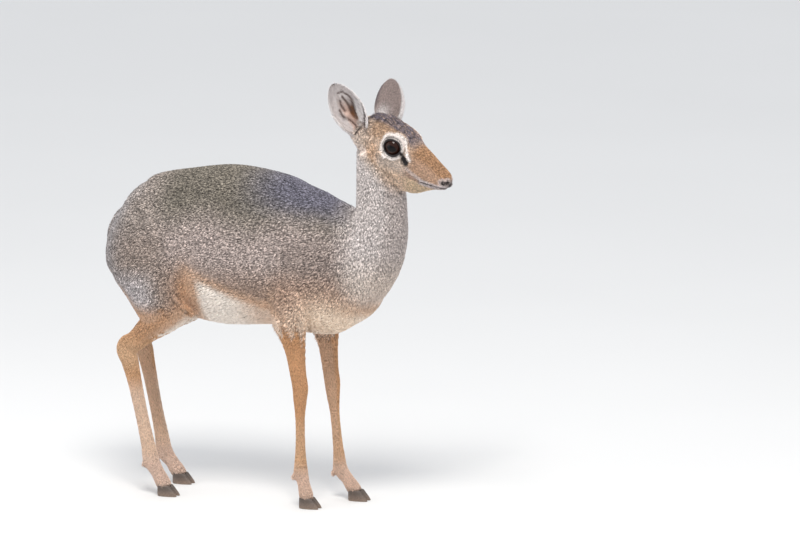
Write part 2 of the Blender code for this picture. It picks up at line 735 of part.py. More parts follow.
def make_claw(name, foot, sign, group):
    """One claw of a cloven hoof: pointed ovals that shrink and set back from the ground up."""
    turns = np.linspace(0, 2 * np.pi, 14, endpoint=False)
    points = []
    for height, half_length, half_width, setback in CLAW_PROFILE:
        x = foot.x + CLAW_FORWARD + setback + half_length * np.cos(turns)
        y = foot.y + sign * CLAW_SPREAD + half_width * np.sin(turns) * (1 - CLAW_TAPER * np.cos(turns))
        points += list(zip(x, y, np.full(len(turns), height)))
    made = outward_faces(mesh_from(name, points, tube_faces(len(CLAW_PROFILE), len(turns))))
    made.materials.append(material("horn"))
    return add_object(name, made, group)


def make_limb(body, name, outline, sign, joints, group, cutters):
    """Parts a leg from the body, its shank from the leg, and stands two claws under it."""
    low, high = sorted((sign * LEG_INSIDE, sign * LEG_OUTSIDE))
    leg = split(body, name + "_leg", prism(name + "_cut", outline, low, high, cutters), group, cutters)
    knee = (joints[-3][0], joints[-3][1], SHANK_TOP[name])
    shank = split(leg, name + "_shank", block(name + "_below", knee, (0, 0, -1), cutters), group, cutters)
    floor = block(name + "_coronet", (*joints[-1][:2], CORONET + GAP), (0, 0, -1), cutters)
    combine(shank, floor, "DIFFERENCE")
    foot = Vector(joints[-1])
    for way, where in ((-1, "a"), (1, "b")):
        make_claw(f"{name}_hoof_{where}", foot, way, group)
    return leg, shank


def make_body(group, cutters):
    body = fused("torso", body_shapes(), BODY_VOXEL, TRUNK_ROUNDS, group, soft_above=SOFT_ABOVE)
    thinned(body, BODY_SHARE)
    neck = split(body, "neck", block("neck_side", *NECK_CUT, cutters), group, cutters)
    head_side = block("head_side_gap", *HEAD_CUT, cutters)
    combine(neck, grown("head_gap", head_side, GAP * math.sqrt(3), cutters), "DIFFERENCE")
    limbs = []
    for side, sign in (("right", -1), ("left", 1)):
        limbs += make_limb(body, "hind_" + side, HAUNCH_OUTLINE, sign, HIND_JOINTS[side], group, cutters)
        limbs += make_limb(body, "fore_" + side, FORELEG_OUTLINE, sign, FORE_JOINTS[side], group, cutters)
    return body, neck, limbs


def make_tail(body, group, cutters):
    points, faces = loft(TAIL, steps=2, sides=14)
    tail = add_object("tail", mesh_from("tail", points, faces), group)
    return combine(tail, grown("rump_skin", body, GAP, cutters), "DIFFERENCE")


def centre_on_floor(group):
    """Moves every piece so that the origin lies under the middle of the whole animal."""
    corners = np.vstack([points_of(thing.data) for thing in group.objects])
    low = corners.min(axis=0)
    middle = (low + corners.max(axis=0)) / 2
    shift = np.array([middle[0], middle[1], low[2]])
    for thing in group.objects:
        set_points(thing.data, points_of(thing.data) - shift)


def finish(thing, name):
    if not thing.data.materials:
        thing.data.materials.append(material(name))
    thing.data.shade_smooth()
    thing.data.set_sharp_from_angle(angle=math.radians(40))


def build():
    clear_scene()
    group = collection("dik_dik")
    cutters = collection("cutters", cutters=True)
    body, neck, limbs = make_body(group, cutters)
    head = make_head(group, cutters)
    ears = [make_ear(side, head, group, cutters) for side in ("right", "left")]
    tail = make_tail(body, group, cutters)
    for thing in (body, neck, head, tail):
        finish(thing, "coat")
    for thing in limbs:
        finish(thing, "leg")
    for thing in ears:
        finish(thing, "ear")
    centre_on_floor(group)


build()
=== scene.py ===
"""Looks of the standing dik-dik: one skin over the whole body, its coat, eyes and hooves.

The skin is a set of lofts through named cross-sections, fused into one closed surface and drawn in by
the depth of the coat. The coat is about a quarter of a million small tufts, each a closed spindle of six
faces, that lie along the body as the hair does. Metres, +Z up, the animal faces +X, its left is +Y.
"""

import math

import bpy
import numpy as np
from mathutils import Matrix, Vector


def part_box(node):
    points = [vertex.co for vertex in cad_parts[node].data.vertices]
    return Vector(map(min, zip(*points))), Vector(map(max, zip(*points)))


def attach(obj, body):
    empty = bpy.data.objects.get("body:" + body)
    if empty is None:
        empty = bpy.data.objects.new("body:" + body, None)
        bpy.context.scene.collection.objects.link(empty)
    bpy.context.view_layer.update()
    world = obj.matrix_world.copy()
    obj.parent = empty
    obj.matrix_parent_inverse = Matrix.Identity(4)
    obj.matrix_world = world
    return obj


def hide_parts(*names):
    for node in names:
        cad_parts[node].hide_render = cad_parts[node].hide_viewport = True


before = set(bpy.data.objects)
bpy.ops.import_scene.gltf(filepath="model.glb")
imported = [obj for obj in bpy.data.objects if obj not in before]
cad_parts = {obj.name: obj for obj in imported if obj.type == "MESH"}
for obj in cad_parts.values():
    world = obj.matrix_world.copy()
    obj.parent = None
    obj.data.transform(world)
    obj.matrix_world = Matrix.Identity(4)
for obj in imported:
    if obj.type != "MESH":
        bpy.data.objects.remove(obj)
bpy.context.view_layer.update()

# Fineness of the forms and of the skin, how often each is evened out, and how many triangles stay.
# From SOFT_ABOVE up, over SOFT_BAND, the body is evened as often as BODY_ROUNDS and not as LEG_ROUNDS.
BODY_VOXEL = 0.0022
BODY_ROUNDS = 84
LEG_ROUNDS = 14
HEAD_VOXEL = 0.0011
HEAD_ROUNDS = 36
SKIN_VOXEL = 0.0010
SOFT_ABOVE = 0.215
SOFT_BAND = 0.030
SKIN_TRIANGLES = 130000

# Sections: x, y and z of the middle, then the reach to the back, the belly and each side, then 2 for
# an ellipse or more for a squarer form. A leg's back is its front edge.
TRUNK = (
    (-0.184, 0, 0.293, 0.012, 0.012, 0.012, 2.0),
    (-0.180, 0, 0.293, 0.030, 0.020, 0.028, 2.1),
    (-0.170, 0, 0.293, 0.0500, 0.034, 0.042, 2.1),
    (-0.150, 0, 0.294, 0.0715, 0.052, 0.051, 2.1),
    (-0.120, 0, 0.298, 0.0890, 0.070, 0.0565, 2.1),
    (-0.088, 0, 0.302, 0.0990, 0.078, 0.060, 2.1),
    (-0.025, 0, 0.300, 0.1118, 0.0855, 0.0640, 2.15),
    (0.045, 0, 0.298, 0.1070, 0.0790, 0.0595, 2.1),
    (0.080, 0, 0.297, 0.0950, 0.0840, 0.0560, 2.1),
    (0.106, 0, 0.295, 0.0870, 0.0840, 0.0530, 2.0),
    (0.128, 0, 0.294, 0.0800, 0.0790, 0.0500, 2.0),
    (0.150, 0, 0.293, 0.0690, 0.0640, 0.0455, 2.0),
    (0.168, 0, 0.293, 0.0500, 0.0480, 0.0380, 2.0),
    (0.180, 0, 0.293, 0.0220, 0.0280, 0.0240, 2.0),
)
NECK = (
    (0.110, 0, 0.268, 0.055, 0.040, 0.046, 2.0),
    (0.138, 0, 0.288, 0.063, 0.048, 0.047, 2.0),
    (0.160, 0, 0.312, 0.050, 0.0435, 0.043, 2.0),
    (0.174, -0.001, 0.340, 0.0385, 0.0365, 0.0365, 2.0),
    (0.1790, -0.002, 0.372, 0.0315, 0.0312, 0.0305, 2.0),
    (0.178, -0.003, 0.400, 0.0298, 0.0300, 0.0285, 2.0),
    (0.176, -0.004, 0.425, 0.0275, 0.0280, 0.0265, 2.0),
    (0.173, -0.006, 0.448, 0.0235, 0.0240, 0.0225, 2.0),
    (0.170, -0.007, 0.463, 0.0170, 0.0180, 0.0170, 2.0),
)
THIGH = (
    (-0.114, 0.018, 0.372, 0.012, 0.012, 0.010, 2.0),
    (-0.118, 0.024, 0.352, 0.040, 0.034, 0.026, 2.0),
    (-0.119, 0.030, 0.322, 0.060, 0.050, 0.0310, 2.0),
    (-0.117, 0.034, 0.290, 0.066, 0.0530, 0.0320, 2.1),
    (-0.109, 0.035, 0.258, 0.059, 0.0395, 0.0300, 2.1),
    (-0.102, 0.036, 0.233, 0.044, 0.0310, 0.0250, 2.1),
    (-0.098, 0.036, 0.216, 0.022, 0.0270, 0.0160, 2.0),
)
TAIL = (
    (-0.162, 0, 0.345, 0.0060, 0.0080, 0.0090, 2.0),
    (-0.173, 0, 0.336, 0.0060, 0.0070, 0.0105, 2.0),
    (-0.1815, 0, 0.322, 0.0055, 0.0060, 0.0105, 2.0),
    (-0.1850, 0, 0.306, 0.0045, 0.0048, 0.0090, 2.0),
    (-0.1850, 0, 0.294, 0.0035, 0.0035, 0.0060, 2.0),
)

# A leg's joints from the top down to the coronet, and its sections: place along the chain of joints,
# reach to the front, the rear and each side
FORE_JOINTS = {
    "right": ((0.078, -0.034, 0.300), (0.0725, -0.036, 0.240), (0.0838, -0.0335, 0.149),
              (0.0853, -0.033, 0.0430), (0.0930, -0.033, 0.010)),
    "left": ((0.082, 0.034, 0.300), (0.0850, 0.036, 0.240), (0.0962, 0.0335, 0.145),
             (0.1085, 0.033, 0.0370), (0.1290, 0.033, 0.010)),
}
FORE_PROFILE = (
    (0.0, 0.028, 0.034, 0.0215),
    (1.0, 0.0235, 0.0255, 0.0205),
    (1.25, 0.0165, 0.0185, 0.0165),
    (1.5, 0.0122, 0.0125, 0.0120),
    (1.8, 0.0098, 0.0103, 0.0098),
    (2.0, 0.0102, 0.0092, 0.0096),
    (2.15, 0.0082, 0.0084, 0.0080),
    (2.35, 0.0054, 0.0066, 0.0058),
    (2.65, 0.0052, 0.0068, 0.0056),
    (2.85, 0.0064, 0.0082, 0.0068),
    (3.0, 0.0082, 0.0094, 0.0086),
    (3.4, 0.0072, 0.0074, 0.0080),
    (3.75, 0.0082, 0.0084, 0.0092),
    (4.0, 0.0080, 0.0084, 0.0094),
)
HIND_JOINTS = {
    "right": ((-0.070, -0.036, 0.250), (-0.1460, -0.0375, 0.180), (-0.1148, -0.037, 0.0425),
              (-0.0960, -0.037, 0.010)),
    "left": ((-0.070, 0.036, 0.250), (-0.1610, 0.0375, 0.179), (-0.1315, 0.037, 0.0385),
             (-0.1100, 0.037, 0.010)),
}
HIND_PROFILE = (
    (0.0, 0.026, 0.030, 0.026),
    (0.35, 0.023, 0.028, 0.020),
    (0.65, 0.0155, 0.0165, 0.0135),
    (0.85, 0.0125, 0.0130, 0.0110),
    (1.0, 0.0120, 0.0150, 0.0096),
    (1.12, 0.0100, 0.0120, 0.0090),
    (1.3, 0.0088, 0.0094, 0.0074),
    (1.6, 0.0078, 0.0086, 0.0064),
    (1.85, 0.0088, 0.0092, 0.0070),
    (2.0, 0.0098, 0.0108, 0.0086),
    (2.4, 0.0080, 0.0084, 0.0082),
    (2.75, 0.0088, 0.0090, 0.0092),
    (3.0, 0.0086, 0.0090, 0.0094),
)
DEWCLAW_RADIUS = 0.0024
DEWCLAW_REAR = 0.0095
DEWCLAW_SIDE = 0.0048

# The head has its own frame: middle between the eyes, x along the muzzle, y left, z up
EYE_MIDDLE = Vector((0.2142, -0.0144, 0.4549))
HEAD_TURN = math.radians(13)
HEAD_DIP = math.radians(22)
SKULL = (
    (-0.064, 0, -0.016, 0.010, 0.012, 0.010, 2.0),
    (-0.058, 0, -0.012, 0.0190, 0.018, 0.0180, 2.0),
    (-0.046, 0, -0.008, 0.0230, 0.024, 0.0225, 2.0),
    (-0.028, 0, -0.004, 0.0235, 0.037, 0.0245, 2.0),
    (-0.010, 0, -0.003, 0.0210, 0.047, 0.0245, 2.1),
    (0.006, 0, -0.004, 0.0205, 0.0500, 0.0230, 2.1),
    (0.022, 0, -0.006, 0.0190, 0.0490, 0.0190, 2.1),
    (0.038, 0, -0.009, 0.0188, 0.0400, 0.0155, 2.1),
    (0.052, 0, -0.0105, 0.0165, 0.0260, 0.0125, 2.2),
    (0.064, 0, -0.0115, 0.0145, 0.0148, 0.0112, 2.2),
    (0.0725, 0, -0.0115, 0.0115, 0.0095, 0.0098, 2.2),
    (0.0780, 0, -0.0105, 0.0070, 0.0065, 0.0070, 2.1),
    (0.0800, 0, -0.0105, 0.0030, 0.0035, 0.0035, 2.0),
)
JAW_NARROWING = 0.42
SWELLINGS = (
    ((-0.002, 0.0160, 0.0140), (0.0170, 0.0090, 0.0070), 0.0018),
    ((0.008, 0.0190, -0.0140), (0.0220, 0.0100, 0.0070), 0.0016),
    ((-0.018, 0.0200, -0.0270), (0.0180, 0.0120, 0.0160), 0.0030),
    ((0.067, 0.0090, -0.0080), (0.0090, 0.0060, 0.0060), 0.0011),
)
EYE_RADIUS = 0.0116
EYE_BACK = -0.0045
EYE_SIDE = 0.0148
EYE_AIM = math.radians(20)
LID_THICKNESS = 0.0017
LID_OPENING = (0.0108, 0.0099)
LID_ROLL = 0.0010
LID_DEPTHS = (0.004, 0.012, 0.020, 0.030)
EYE_GAP = 0.0001
SOCKET_GAP = 0.0002
MOUTH = ((0.0455, -0.0240), (0.0580, -0.0218), (0.0700, -0.0192), (0.0770, -0.0170), (0.0860, -0.0160))
MOUTH_GROOVE = (0.0015, 0.0022)
MOUTH_END = 0.004
LIP_HEIGHT = 0.0007
NOSTRIL = ((0.0785, 0.0045, -0.0085), (0.0765, 0.0075, -0.0110), (0.0745, 0.0090, -0.0105))
NOSTRIL_GROOVE = (0.0024, 0.0034)
GLAND = ((0.0170, 0.0180, -0.0050), (0.0225, 0.0165, -0.0090))
GLAND_GROOVE = (0.0040, 0.0020)

# Ears: each stands on the skull along its own axis with its cup open towards its facing
EAR_ROOT = {"right": (-0.0480, -0.0200, -0.0090), "left": (-0.0420, 0.0250, -0.0075)}
EAR_AXIS = {"right": (-0.034, -0.038, 0.052), "left": (-0.040, 0.034, 0.037)}
EAR_FACING = {"right": (0.788, -0.611, 0.071), "left": (0.10, 0.75, -0.45)}
EAR_LENGTH = {"right": 0.080, "left": 0.073}
EAR_STUMP = (0.0128, 0.0108, 0.0150)
EAR_STUMP_SINK = 0.0060
EAR_WALL = 0.0015
EAR_RIM = 0.0006
EAR_CUP = 0.62
# Share of the ear's length, half width there, and how far round the cup reaches, in radians
EAR_PROFILE = (
    (-0.12, 0.0100, 2.50),
    (0.00, 0.0108, 2.40),
    (0.14, 0.0120, 2.20),
    (0.30, 0.0168, 1.90),
    (0.50, 0.0190, 1.64),
    (0.70, 0.0165, 1.45),
    (0.86, 0.0116, 1.30),
    (0.96, 0.0058, 1.20),
    (1.00, 0.0016, 1.15),
)
# Folds inside the cup: a line of places across and along, how far from it a fold fades out, its height.
# Creases are the lines of painted shade between them.
EAR_FOLDS = (
    (((-0.02, 0.74), (0.28, 0.70), (0.42, 0.58), (0.36, 0.45)), 0.075, 0.0020),
    (((0.02, 0.66), (0.06, 0.50), (0.02, 0.38)), 0.070, 0.0018),
    (((-0.32, 0.43), (-0.12, 0.38), (0.04, 0.27), (0.22, 0.24)), 0.060, 0.0024),
    (((-0.30, 0.70), (-0.36, 0.56), (-0.34, 0.44)), 0.080, 0.0012),
)
EAR_CREASE_SHADE_LINES = (
    ((0.00, 0.80), (0.36, 0.78), (0.58, 0.66), (0.52, 0.52), (0.44, 0.38), (0.30, 0.28)),
    ((0.15, 0.71), (0.22, 0.55), (0.20, 0.40)),
    ((-0.12, 0.65), (-0.20, 0.56), (-0.16, 0.46)),
    ((-0.43, 0.52), (-0.46, 0.42), (-0.38, 0.36)),
    ((-0.25, 0.30), (-0.08, 0.20), (0.00, 0.10), (0.02, 0.03)),
)

# Feet: height, half length, half width and setback of a claw's sections
CLAW_SPREAD = 0.0049
CLAW_TAPER = 0.30
CLAW_FORWARD = 0.0045
CLAW_PROFILE = (
    (0.0000, 0.0128, 0.0043, 0.0000),
    (0.0035, 0.0121, 0.0044, -0.0010),
    (0.0090, 0.0098, 0.0043, -0.0032),
    (0.0130, 0.0080, 0.0041, -0.0048),
)

# Coat of each part: how far the skin lies in, how far the tips stand off it, length and width of a
# tuft, and tufts in each square millimetre
COATS = {
    "trunk": (0.0030, 0.0030, 0.0092, 0.0012, 0.75),
    "thigh": (0.0028, 0.0028, 0.0088, 0.0012, 0.77),
    "neck": (0.0026, 0.0027, 0.0072, 0.0010, 1.00),
    "head": (0.0011, 0.0011, 0.0038, 0.0007, 2.30),
    "muzzle": (0.0006, 0.0007, 0.0032, 0.0006, 2.40),
    "crest": (0.0005, 0.0042, 0.0130, 0.0009, 1.60),
    "leg_top": (0.0016, 0.0015, 0.0065, 0.0010, 0.85),
    "leg": (0.0009, 0.0009, 0.0050, 0.0008, 1.10),
    "foot": (0.0008, 0.0009, 0.0045, 0.0008, 1.20),
    "ear": (0.0005, 0.0006, 0.0042, 0.0007, 1.30),
    "tail": (0.0024, 0.0018, 0.0085, 0.0011, 1.00),
}
# Side of the cells that the coat is worked out by
CELL = 0.016
# How deep a tuft is rooted, and how far its way strays, in radians
TUFT_SINK = 0.0010
TUFT_SPREAD = 0.16
# A tuft's patch in its map, and where the unwrap starts and how far it goes
BAKE_PATCH = 0.003
BAKE_START = 0.004
BAKE_REACH = 0.989
# Long hairs over each ear's opening: how many, and their row of coat values
EAR_HAIRS = 700
EAR_HAIR = (0, 0.0020, 0.0095, 0.0007, 0)
# Pale band round the foot of an ear and the painted shade of its opening over it, in the head's frame,
# right and left
EAR_FOOT = {
    "right": ((-0.0530, -0.0220, -0.0100), (-0.0470, -0.0225, -0.0165), (-0.0385, -0.0215, -0.0240)),
    "left": ((-0.0480, 0.0270, -0.0100), (-0.0420, 0.0265, -0.0160), (-0.0350, 0.0235, -0.0230)),
}
EAR_OPENING_SHADE = {"right": (-0.0534, -0.0220, -0.0056), "left": (-0.0480, 0.0290, -0.0040)}
# White streak over and before the eye, in the head's side view
EYE_STREAK = ((-0.0030, 0.0125), (0.0070, 0.0110), (0.0165, 0.0050), (0.0265, -0.0040))

# Colours, as sRGB
BACK = "#8a8277"
# Painted bluish sky reflection and shade: a dark bluish grey where the withers face up
WITHERS_SKY_AND_SHADE = "#747384"
FLANK = "#bdaea8"
RUMP = "#ab9f97"
HAUNCH_REAR = "#aba6a7"
HAUNCH = "#a2938a"
FLANK_WARM = "#a58d7e"
SHOULDER = "#a0918a"
SHOULDER_WARM = "#c2a18c"
BRISKET = "#f6e2cd"
GASKIN = "#c49a78"
HOCK = "#d2ae8c"
CANNON_TAN = "#d5ad89"
# Painted shade: the darker grey where the neck faces forward and where the head faces down
NECK_FRONT_SHADE = "#bcb0ac"
CHIN = "#d3bb9f"
MUZZLE_SIDE = "#b6967f"
MUZZLE_LOW = "#a98d7c"
BELLY_WHITE = "#f3e9df"
BELLY_CREAM = "#d4b196"
THIGH_TAN = "#cda07c"
LEG_TAN = "#cf9f76"
CANNON_PALE = "#e2c5ae"
PASTERN = "#dcc0b0"
NECK_GREY = "#d6cdca"
CHEEK = "#d0bfb2"
HAUNCH_LOW = "#cbc3c3"
JAW_TAN = "#d9bea6"
RUFOUS = "#ad8767"
CROWN_GREY = "#6d656d"
TEMPLE = "#d3b092"
BROW = "#b99a80"
RING_WHITE = "#f8f0ec"
LIP_PALE = "#d8cfd0"
SKIN_BLACK = "#1d1718"
EAR_PALE = "#cdc4c2"
EAR_SKIN = "#cfae9f"
EAR_RUST = "#6a4328"
EAR_BACK = "#8f807c"
EAR_EDGE = "#e4dfdf"
EAR_DARK = "#3c3540"
# Painted shade in the creases inside the ear
EAR_CREASE_SHADE = "#54413a"
EAR_FOOT_PALE = "#f2e2d8"
HORN_DARK = "#3a302b"
HORN_DUST = "#b09682"
IRIS_BROWN = "#2c1710"
PUPIL_BLACK = "#050406"

# Camera: the picture's right and up and the way to the camera, the picture's width where the animal
# stands, what it aims at along those three, and how far off it is
PICTURE_RIGHT = Vector((0.9135, 0.4067, 0.0))
PICTURE_UP = Vector((-0.0776, 0.1743, 0.9816))
TOWARDS_CAMERA = Vector((0.3993, -0.8967, 0.1908))
PICTURE_WIDTH = 0.976
AIM_RIGHT = 0.1842
AIM_UP = 0.2810
AIM_NEAR = 0.07
CAMERA_AWAY = 14.0
SENSOR = 36.0


def linear(hex_colour):
    """Linear red, green and blue of an sRGB hex value."""
    parts = np.array([int(hex_colour[i : i + 2], 16) for i in (1, 3, 5)]) / 255
    return np.where(parts <= 0.04045, parts / 12.92, ((parts + 0.055) / 1.055) ** 2.4)


def ease(value, start, end):
    """Goes smoothly from 0 at the start to 1 at the end: t²(3 - 2t) with t the share of the way."""
    t = np.clip((value - start) / (end - start), 0, 1)
    return t * t * (3 - 2 * t)


def unit(vectors):
    """The vectors at length one."""
    return vectors / np.maximum(np.linalg.norm(vectors, axis=-1, keepdims=True), 1e-9)


def through(rows, steps):
    """Rows read from the cubic that passes through each row of a table.

    The slope at a row is half the step from the row before it to the row after it.
    """
    rows = np.asarray(rows, float)
    padded = np.vstack([2 * rows[0] - rows[1], rows, 2 * rows[-1] - rows[-2]])
    t = np.linspace(0, 1, steps, endpoint=False)[:, None]
    parts = []
    for before, a, b, after in zip(padded, padded[1:], padded[2:], padded[3:]):
        parts.append(
            (2 * t**3 - 3 * t**2 + 1) * a
            + (t**3 - 2 * t**2 + t) * (b - before) / 2
            + (3 * t**2 - 2 * t**3) * b
            + (t**3 - t**2) * (after - a) / 2
        )
    return np.vstack([*parts, rows[-1:]])


def closed_tube(grid):
    """Points and triangles of a tube of rings, closed at each end by a fan to the ring's middle."""
    rings, sides = grid.shape[:2]
    index = np.arange(rings * sides).reshape(rings, sides)
    turned = np.roll(index, -1, axis=1)
    a, b, c, d = index[:-1], turned[:-1], turned[1:], index[1:]
    poles = np.full(sides, rings * sides)
    faces = [np.stack([a, b, c], -1).reshape(-1, 3), np.stack([a, c, d], -1).reshape(-1, 3)]
    faces.append(np.stack([poles, turned[0], index[0]], -1))
    faces.append(np.stack([poles + 1, index[-1], turned[-1]], -1))
    points = np.vstack([grid.reshape(-1, 3), grid[0].mean(0), grid[-1].mean(0)])
    return outward(points, np.vstack(faces))


def outward(points, faces):
    """The same closed triangles, turned round if their signed volume is negative."""
    volume = np.linalg.det(points[faces]).sum()
    return points, faces[:, ::-1] if volume < 0 else faces


def sections(rows, steps=6, sides=40, narrowing=0.0):
    """Rings of a loft: at each place of the path a superellipse square to it.

    A ring's point is middle + up·reach_back|cos|^(2/n) + side·reach_side|sin|^(2/n), with the belly's
    reach where the cosine is negative and the sides drawn in below by the narrowing.
    """
    rows = through(rows, steps)
    middle = rows[:, :3]
    reach_back, reach_belly, reach_side = np.maximum(rows[:, 3:6], 0.0004).T
    power = 2 / rows[:, 6]
    along = unit(np.gradient(middle, axis=0))
    side = unit(np.array([0.0, 1.0, 0.0]) - along * along[:, 1:2])
    back = np.cross(along, side)
    angle = np.linspace(0, 2 * np.pi, sides, endpoint=False)
    c, s = np.cos(angle), np.sin(angle)
    up = np.sign(c) * np.abs(c) ** power[:, None]
    out = np.sign(s) * np.abs(s) ** power[:, None]
    up *= np.where(c > 0, reach_back[:, None], reach_belly[:, None])
    out *= reach_side[:, None] * (1 - narrowing * np.clip(-c, 0, 1) ** 2)
    return middle[:, None] + up[..., None] * back[:, None] + out[..., None] * side[:, None]


def leg_rows(joints, profile):
    """Loft rows of a leg: its profile's places read along the chain of joints."""
    joints = np.array(joints)
    places = np.array([row[0] for row in profile])
    middle = [np.interp(places, range(len(joints)), joints[:, axis]) for axis in range(3)]
    return np.column_stack([*middle, np.array([row[1:] for row in profile]), np.full(len(places), 2.0)])


def ball(middle, radii, sides=32, turn=None):
    """An ellipsoid: rings of cos(latitude) round an axis, closed at both poles."""
    latitude = np.linspace(-np.pi / 2, np.pi / 2, sides // 2 + 1)[1:-1, None]
    angle = np.linspace(0, 2 * np.pi, sides, endpoint=False)
    grid = np.stack([
        np.cos(latitude) * np.cos(angle),
        np.cos(latitude) * np.sin(angle),
        np.sin(latitude) * np.ones_like(angle),
    ], -1) * np.array(radii)
    if turn is not None:
        grid = grid @ np.array(turn).T
    return closed_tube(grid + np.array(middle))


def head_frame():
    """Matrix from the head's own frame to the drawing's."""
    turned = Matrix.Rotation(-HEAD_TURN, 4, "Z") @ Matrix.Rotation(HEAD_DIP, 4, "Y")
    return Matrix.Translation(EYE_MIDDLE) @ turned


HEAD = np.array(head_frame())
HEAD_BACK = np.array(head_frame().inverted())


def from_head(points):
    """Points of the head's own frame, in the drawing's."""
    return np.asarray(points) @ HEAD[:3, :3].T + HEAD[:3, 3]


def to_head(points):
    """Points of the drawing's frame, in the head's own."""
    return np.asarray(points) @ HEAD_BACK[:3, :3].T + HEAD_BACK[:3, 3]


def model_place():
    """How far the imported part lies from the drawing's frame, read from a claw whose place is known."""
    low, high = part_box("fore_right_hoof_a")
    foot = FORE_JOINTS["right"][-1]
    x = (low.x + high.x) / 2 - foot[0] - CLAW_FORWARD
    y = (low.y + high.y) / 2 - foot[1] + CLAW_SPREAD
    return np.array([x, y, 0.0])


PLACE = model_place()


def mesh_of(name, points, faces):
    """A mesh from an array of points in the drawing's frame and an array of faces with equal corners."""
    mesh = bpy.data.meshes.new(name)
    corners = faces.shape[1]
    mesh.vertices.add(len(points))
    mesh.vertices.foreach_set("co", (points + PLACE).astype(np.float32).ravel())
    mesh.loops.add(faces.size)
    mesh.loops.foreach_set("vertex_index", faces.astype(np.int32).ravel())
    mesh.polygons.add(len(faces))
    mesh.polygons.foreach_set("loop_start", np.arange(0, faces.size, corners, dtype=np.int32))
    mesh.update(calc_edges=True)
    return mesh


def add_piece(name, points, faces, smooth=True):
    """A new object that holds these faces, with its origin at the scene's."""
    mesh = mesh_of(name, points, faces)
    made = bpy.data.objects.new(name, mesh)
    bpy.context.scene.collection.objects.link(made)
    if smooth:
        mesh.shade_smooth()
    return made


def points_of(mesh):
    """A mesh's points in the drawing's frame."""
    points = np.empty(len(mesh.vertices) * 3, np.float32)
    mesh.vertices.foreach_get("co", points)
    return points.reshape(-1, 3).astype(float) - PLACE


def set_points(mesh, points):
    """Moves a mesh's points to places in the drawing's frame."""
    mesh.vertices.foreach_set("co", (points + PLACE).astype(np.float32).ravel())
    mesh.update()


def normals_of(mesh):
    """The outward direction at each of a mesh's points."""
    normals = np.empty(len(mesh.vertices) * 3, np.float32)
    mesh.vertices.foreach_get("normal", normals)
    return normals.reshape(-1, 3).astype(float)


def baked(thing):
    """Applies an object's modifiers."""
    bpy.context.view_layer.update()
    graph = bpy.context.evaluated_depsgraph_get()
    mesh = bpy.data.meshes.new_from_object(thing.evaluated_get(graph))
    thing.modifiers.clear()
    thing.data = mesh
    return thing


def gathered(shapes):
    """Several closed shapes as one array of points and one of triangles."""
    starts = np.cumsum([0, *[len(points) for points, _ in shapes]])
    points = np.vstack([points for points, _ in shapes])
    return points, np.vstack([faces + start for (_, faces), start in zip(shapes, starts)])


def evened(mesh, rounds, leg_rounds, strength=0.6):
    """Draws each point to its neighbours' mean and then back out, more often above a height than below."""
    points = points_of(mesh)
    edges = np.empty(len(mesh.edges) * 2, np.int32)
    mesh.edges.foreach_get("vertices", edges)
    a, b = edges.reshape(-1, 2).T
    count = np.bincount(np.concatenate([a, b]), minlength=len(points))[:, None]
    share = np.clip((points[:, 2] - SOFT_ABOVE) / SOFT_BAND, 0, 1)
    total = np.zeros_like(points)
    for turn in range(rounds):
        for axis in range(3):
            total[:, axis] = np.bincount(a, points[b, axis], len(points))
            total[:, axis] += np.bincount(b, points[a, axis], len(points))
        factor = strength if turn % 2 == 0 else -1.03 * strength
        if turn >= leg_rounds:
            factor = factor * share[:, None]
        points += factor * (total / count - points)
    set_points(mesh, points)


def away_from(points, line):
    """Distance from each point to a smooth line, either of them in space or in the side view."""
    places = through(line, 10)
    far = np.full(len(points), 1.0)
    for place in places:
        far = np.minimum(far, np.linalg.norm(points - place, axis=1))
    return far


def furrow(away, radius, depth):
    """Depth of a soft furrow: depth·(1 - (away / radius)²)² inside the radius."""
    return depth * np.clip(1 - (away / radius) ** 2, 0, 1) ** 2


def ear_turn(side):
    """Columns: across the ear, towards the side its cup faces, and along it."""
    axis = Vector(EAR_AXIS[side]).normalized()
    facing = Vector(EAR_FACING[side])
    facing = (facing - axis * facing.dot(axis)).normalized()
    return np.array(Matrix((facing.cross(axis), facing, axis)).transposed())


def eye_place(sign):
    """Middle of an eye in the head's frame."""
    return np.array([EYE_BACK, sign * EYE_SIDE, 0.0])


def eye_aim(sign):
    """Columns: forward along the lids, outward through the pupil, and up."""
    return np.array(Matrix.Rotation(-sign * EYE_AIM, 3, "Z")) * np.array([1, sign, 1])


def body_shapes():
    """Every closed form below the head that the skin is fused from."""
    shapes = [closed_tube(sections(TRUNK)), closed_tube(sections(NECK)), closed_tube(sections(TAIL))]
    for side, sign in (("right", -1), ("left", 1)):
        shapes.append(closed_tube(sections([(x, sign * y, z, *rest) for x, y, z, *rest in THIGH])))
        shapes.append(closed_tube(sections(leg_rows(HIND_JOINTS[side], HIND_PROFILE), sides=28)))
        shapes.append(closed_tube(sections(leg_rows(FORE_JOINTS[side], FORE_PROFILE), sides=28)))
        for joints in (HIND_JOINTS[side], FORE_JOINTS[side]):
            for way in (-1, 1):
                place = np.array(joints[-2]) + (-DEWCLAW_REAR, way * DEWCLAW_SIDE, -DEWCLAW_SIDE)
                shapes.append(ball(place, (DEWCLAW_RADIUS, DEWCLAW_RADIUS, 1.8 * DEWCLAW_RADIUS), 16))
    return shapes


def head_shapes():
    """Skull, lids, the swellings that the ears stand on, and the neck that carries them."""
    head = [closed_tube(sections(SKULL, sides=56, narrowing=JAW_NARROWING))]
    for sign in (-1, 1):
        head.append(ball(eye_place(sign), [EYE_RADIUS + LID_THICKNESS] * 3, 40))
    for side in ("right", "left"):
        turn = ear_turn(side)
        head.append(ball(np.array(EAR_ROOT[side]) - turn[:, 2] * EAR_STUMP_SINK, EAR_STUMP, 32, turn))
    return [(from_head(points), faces) for points, faces in head] + [closed_tube(sections(NECK[4:]))]


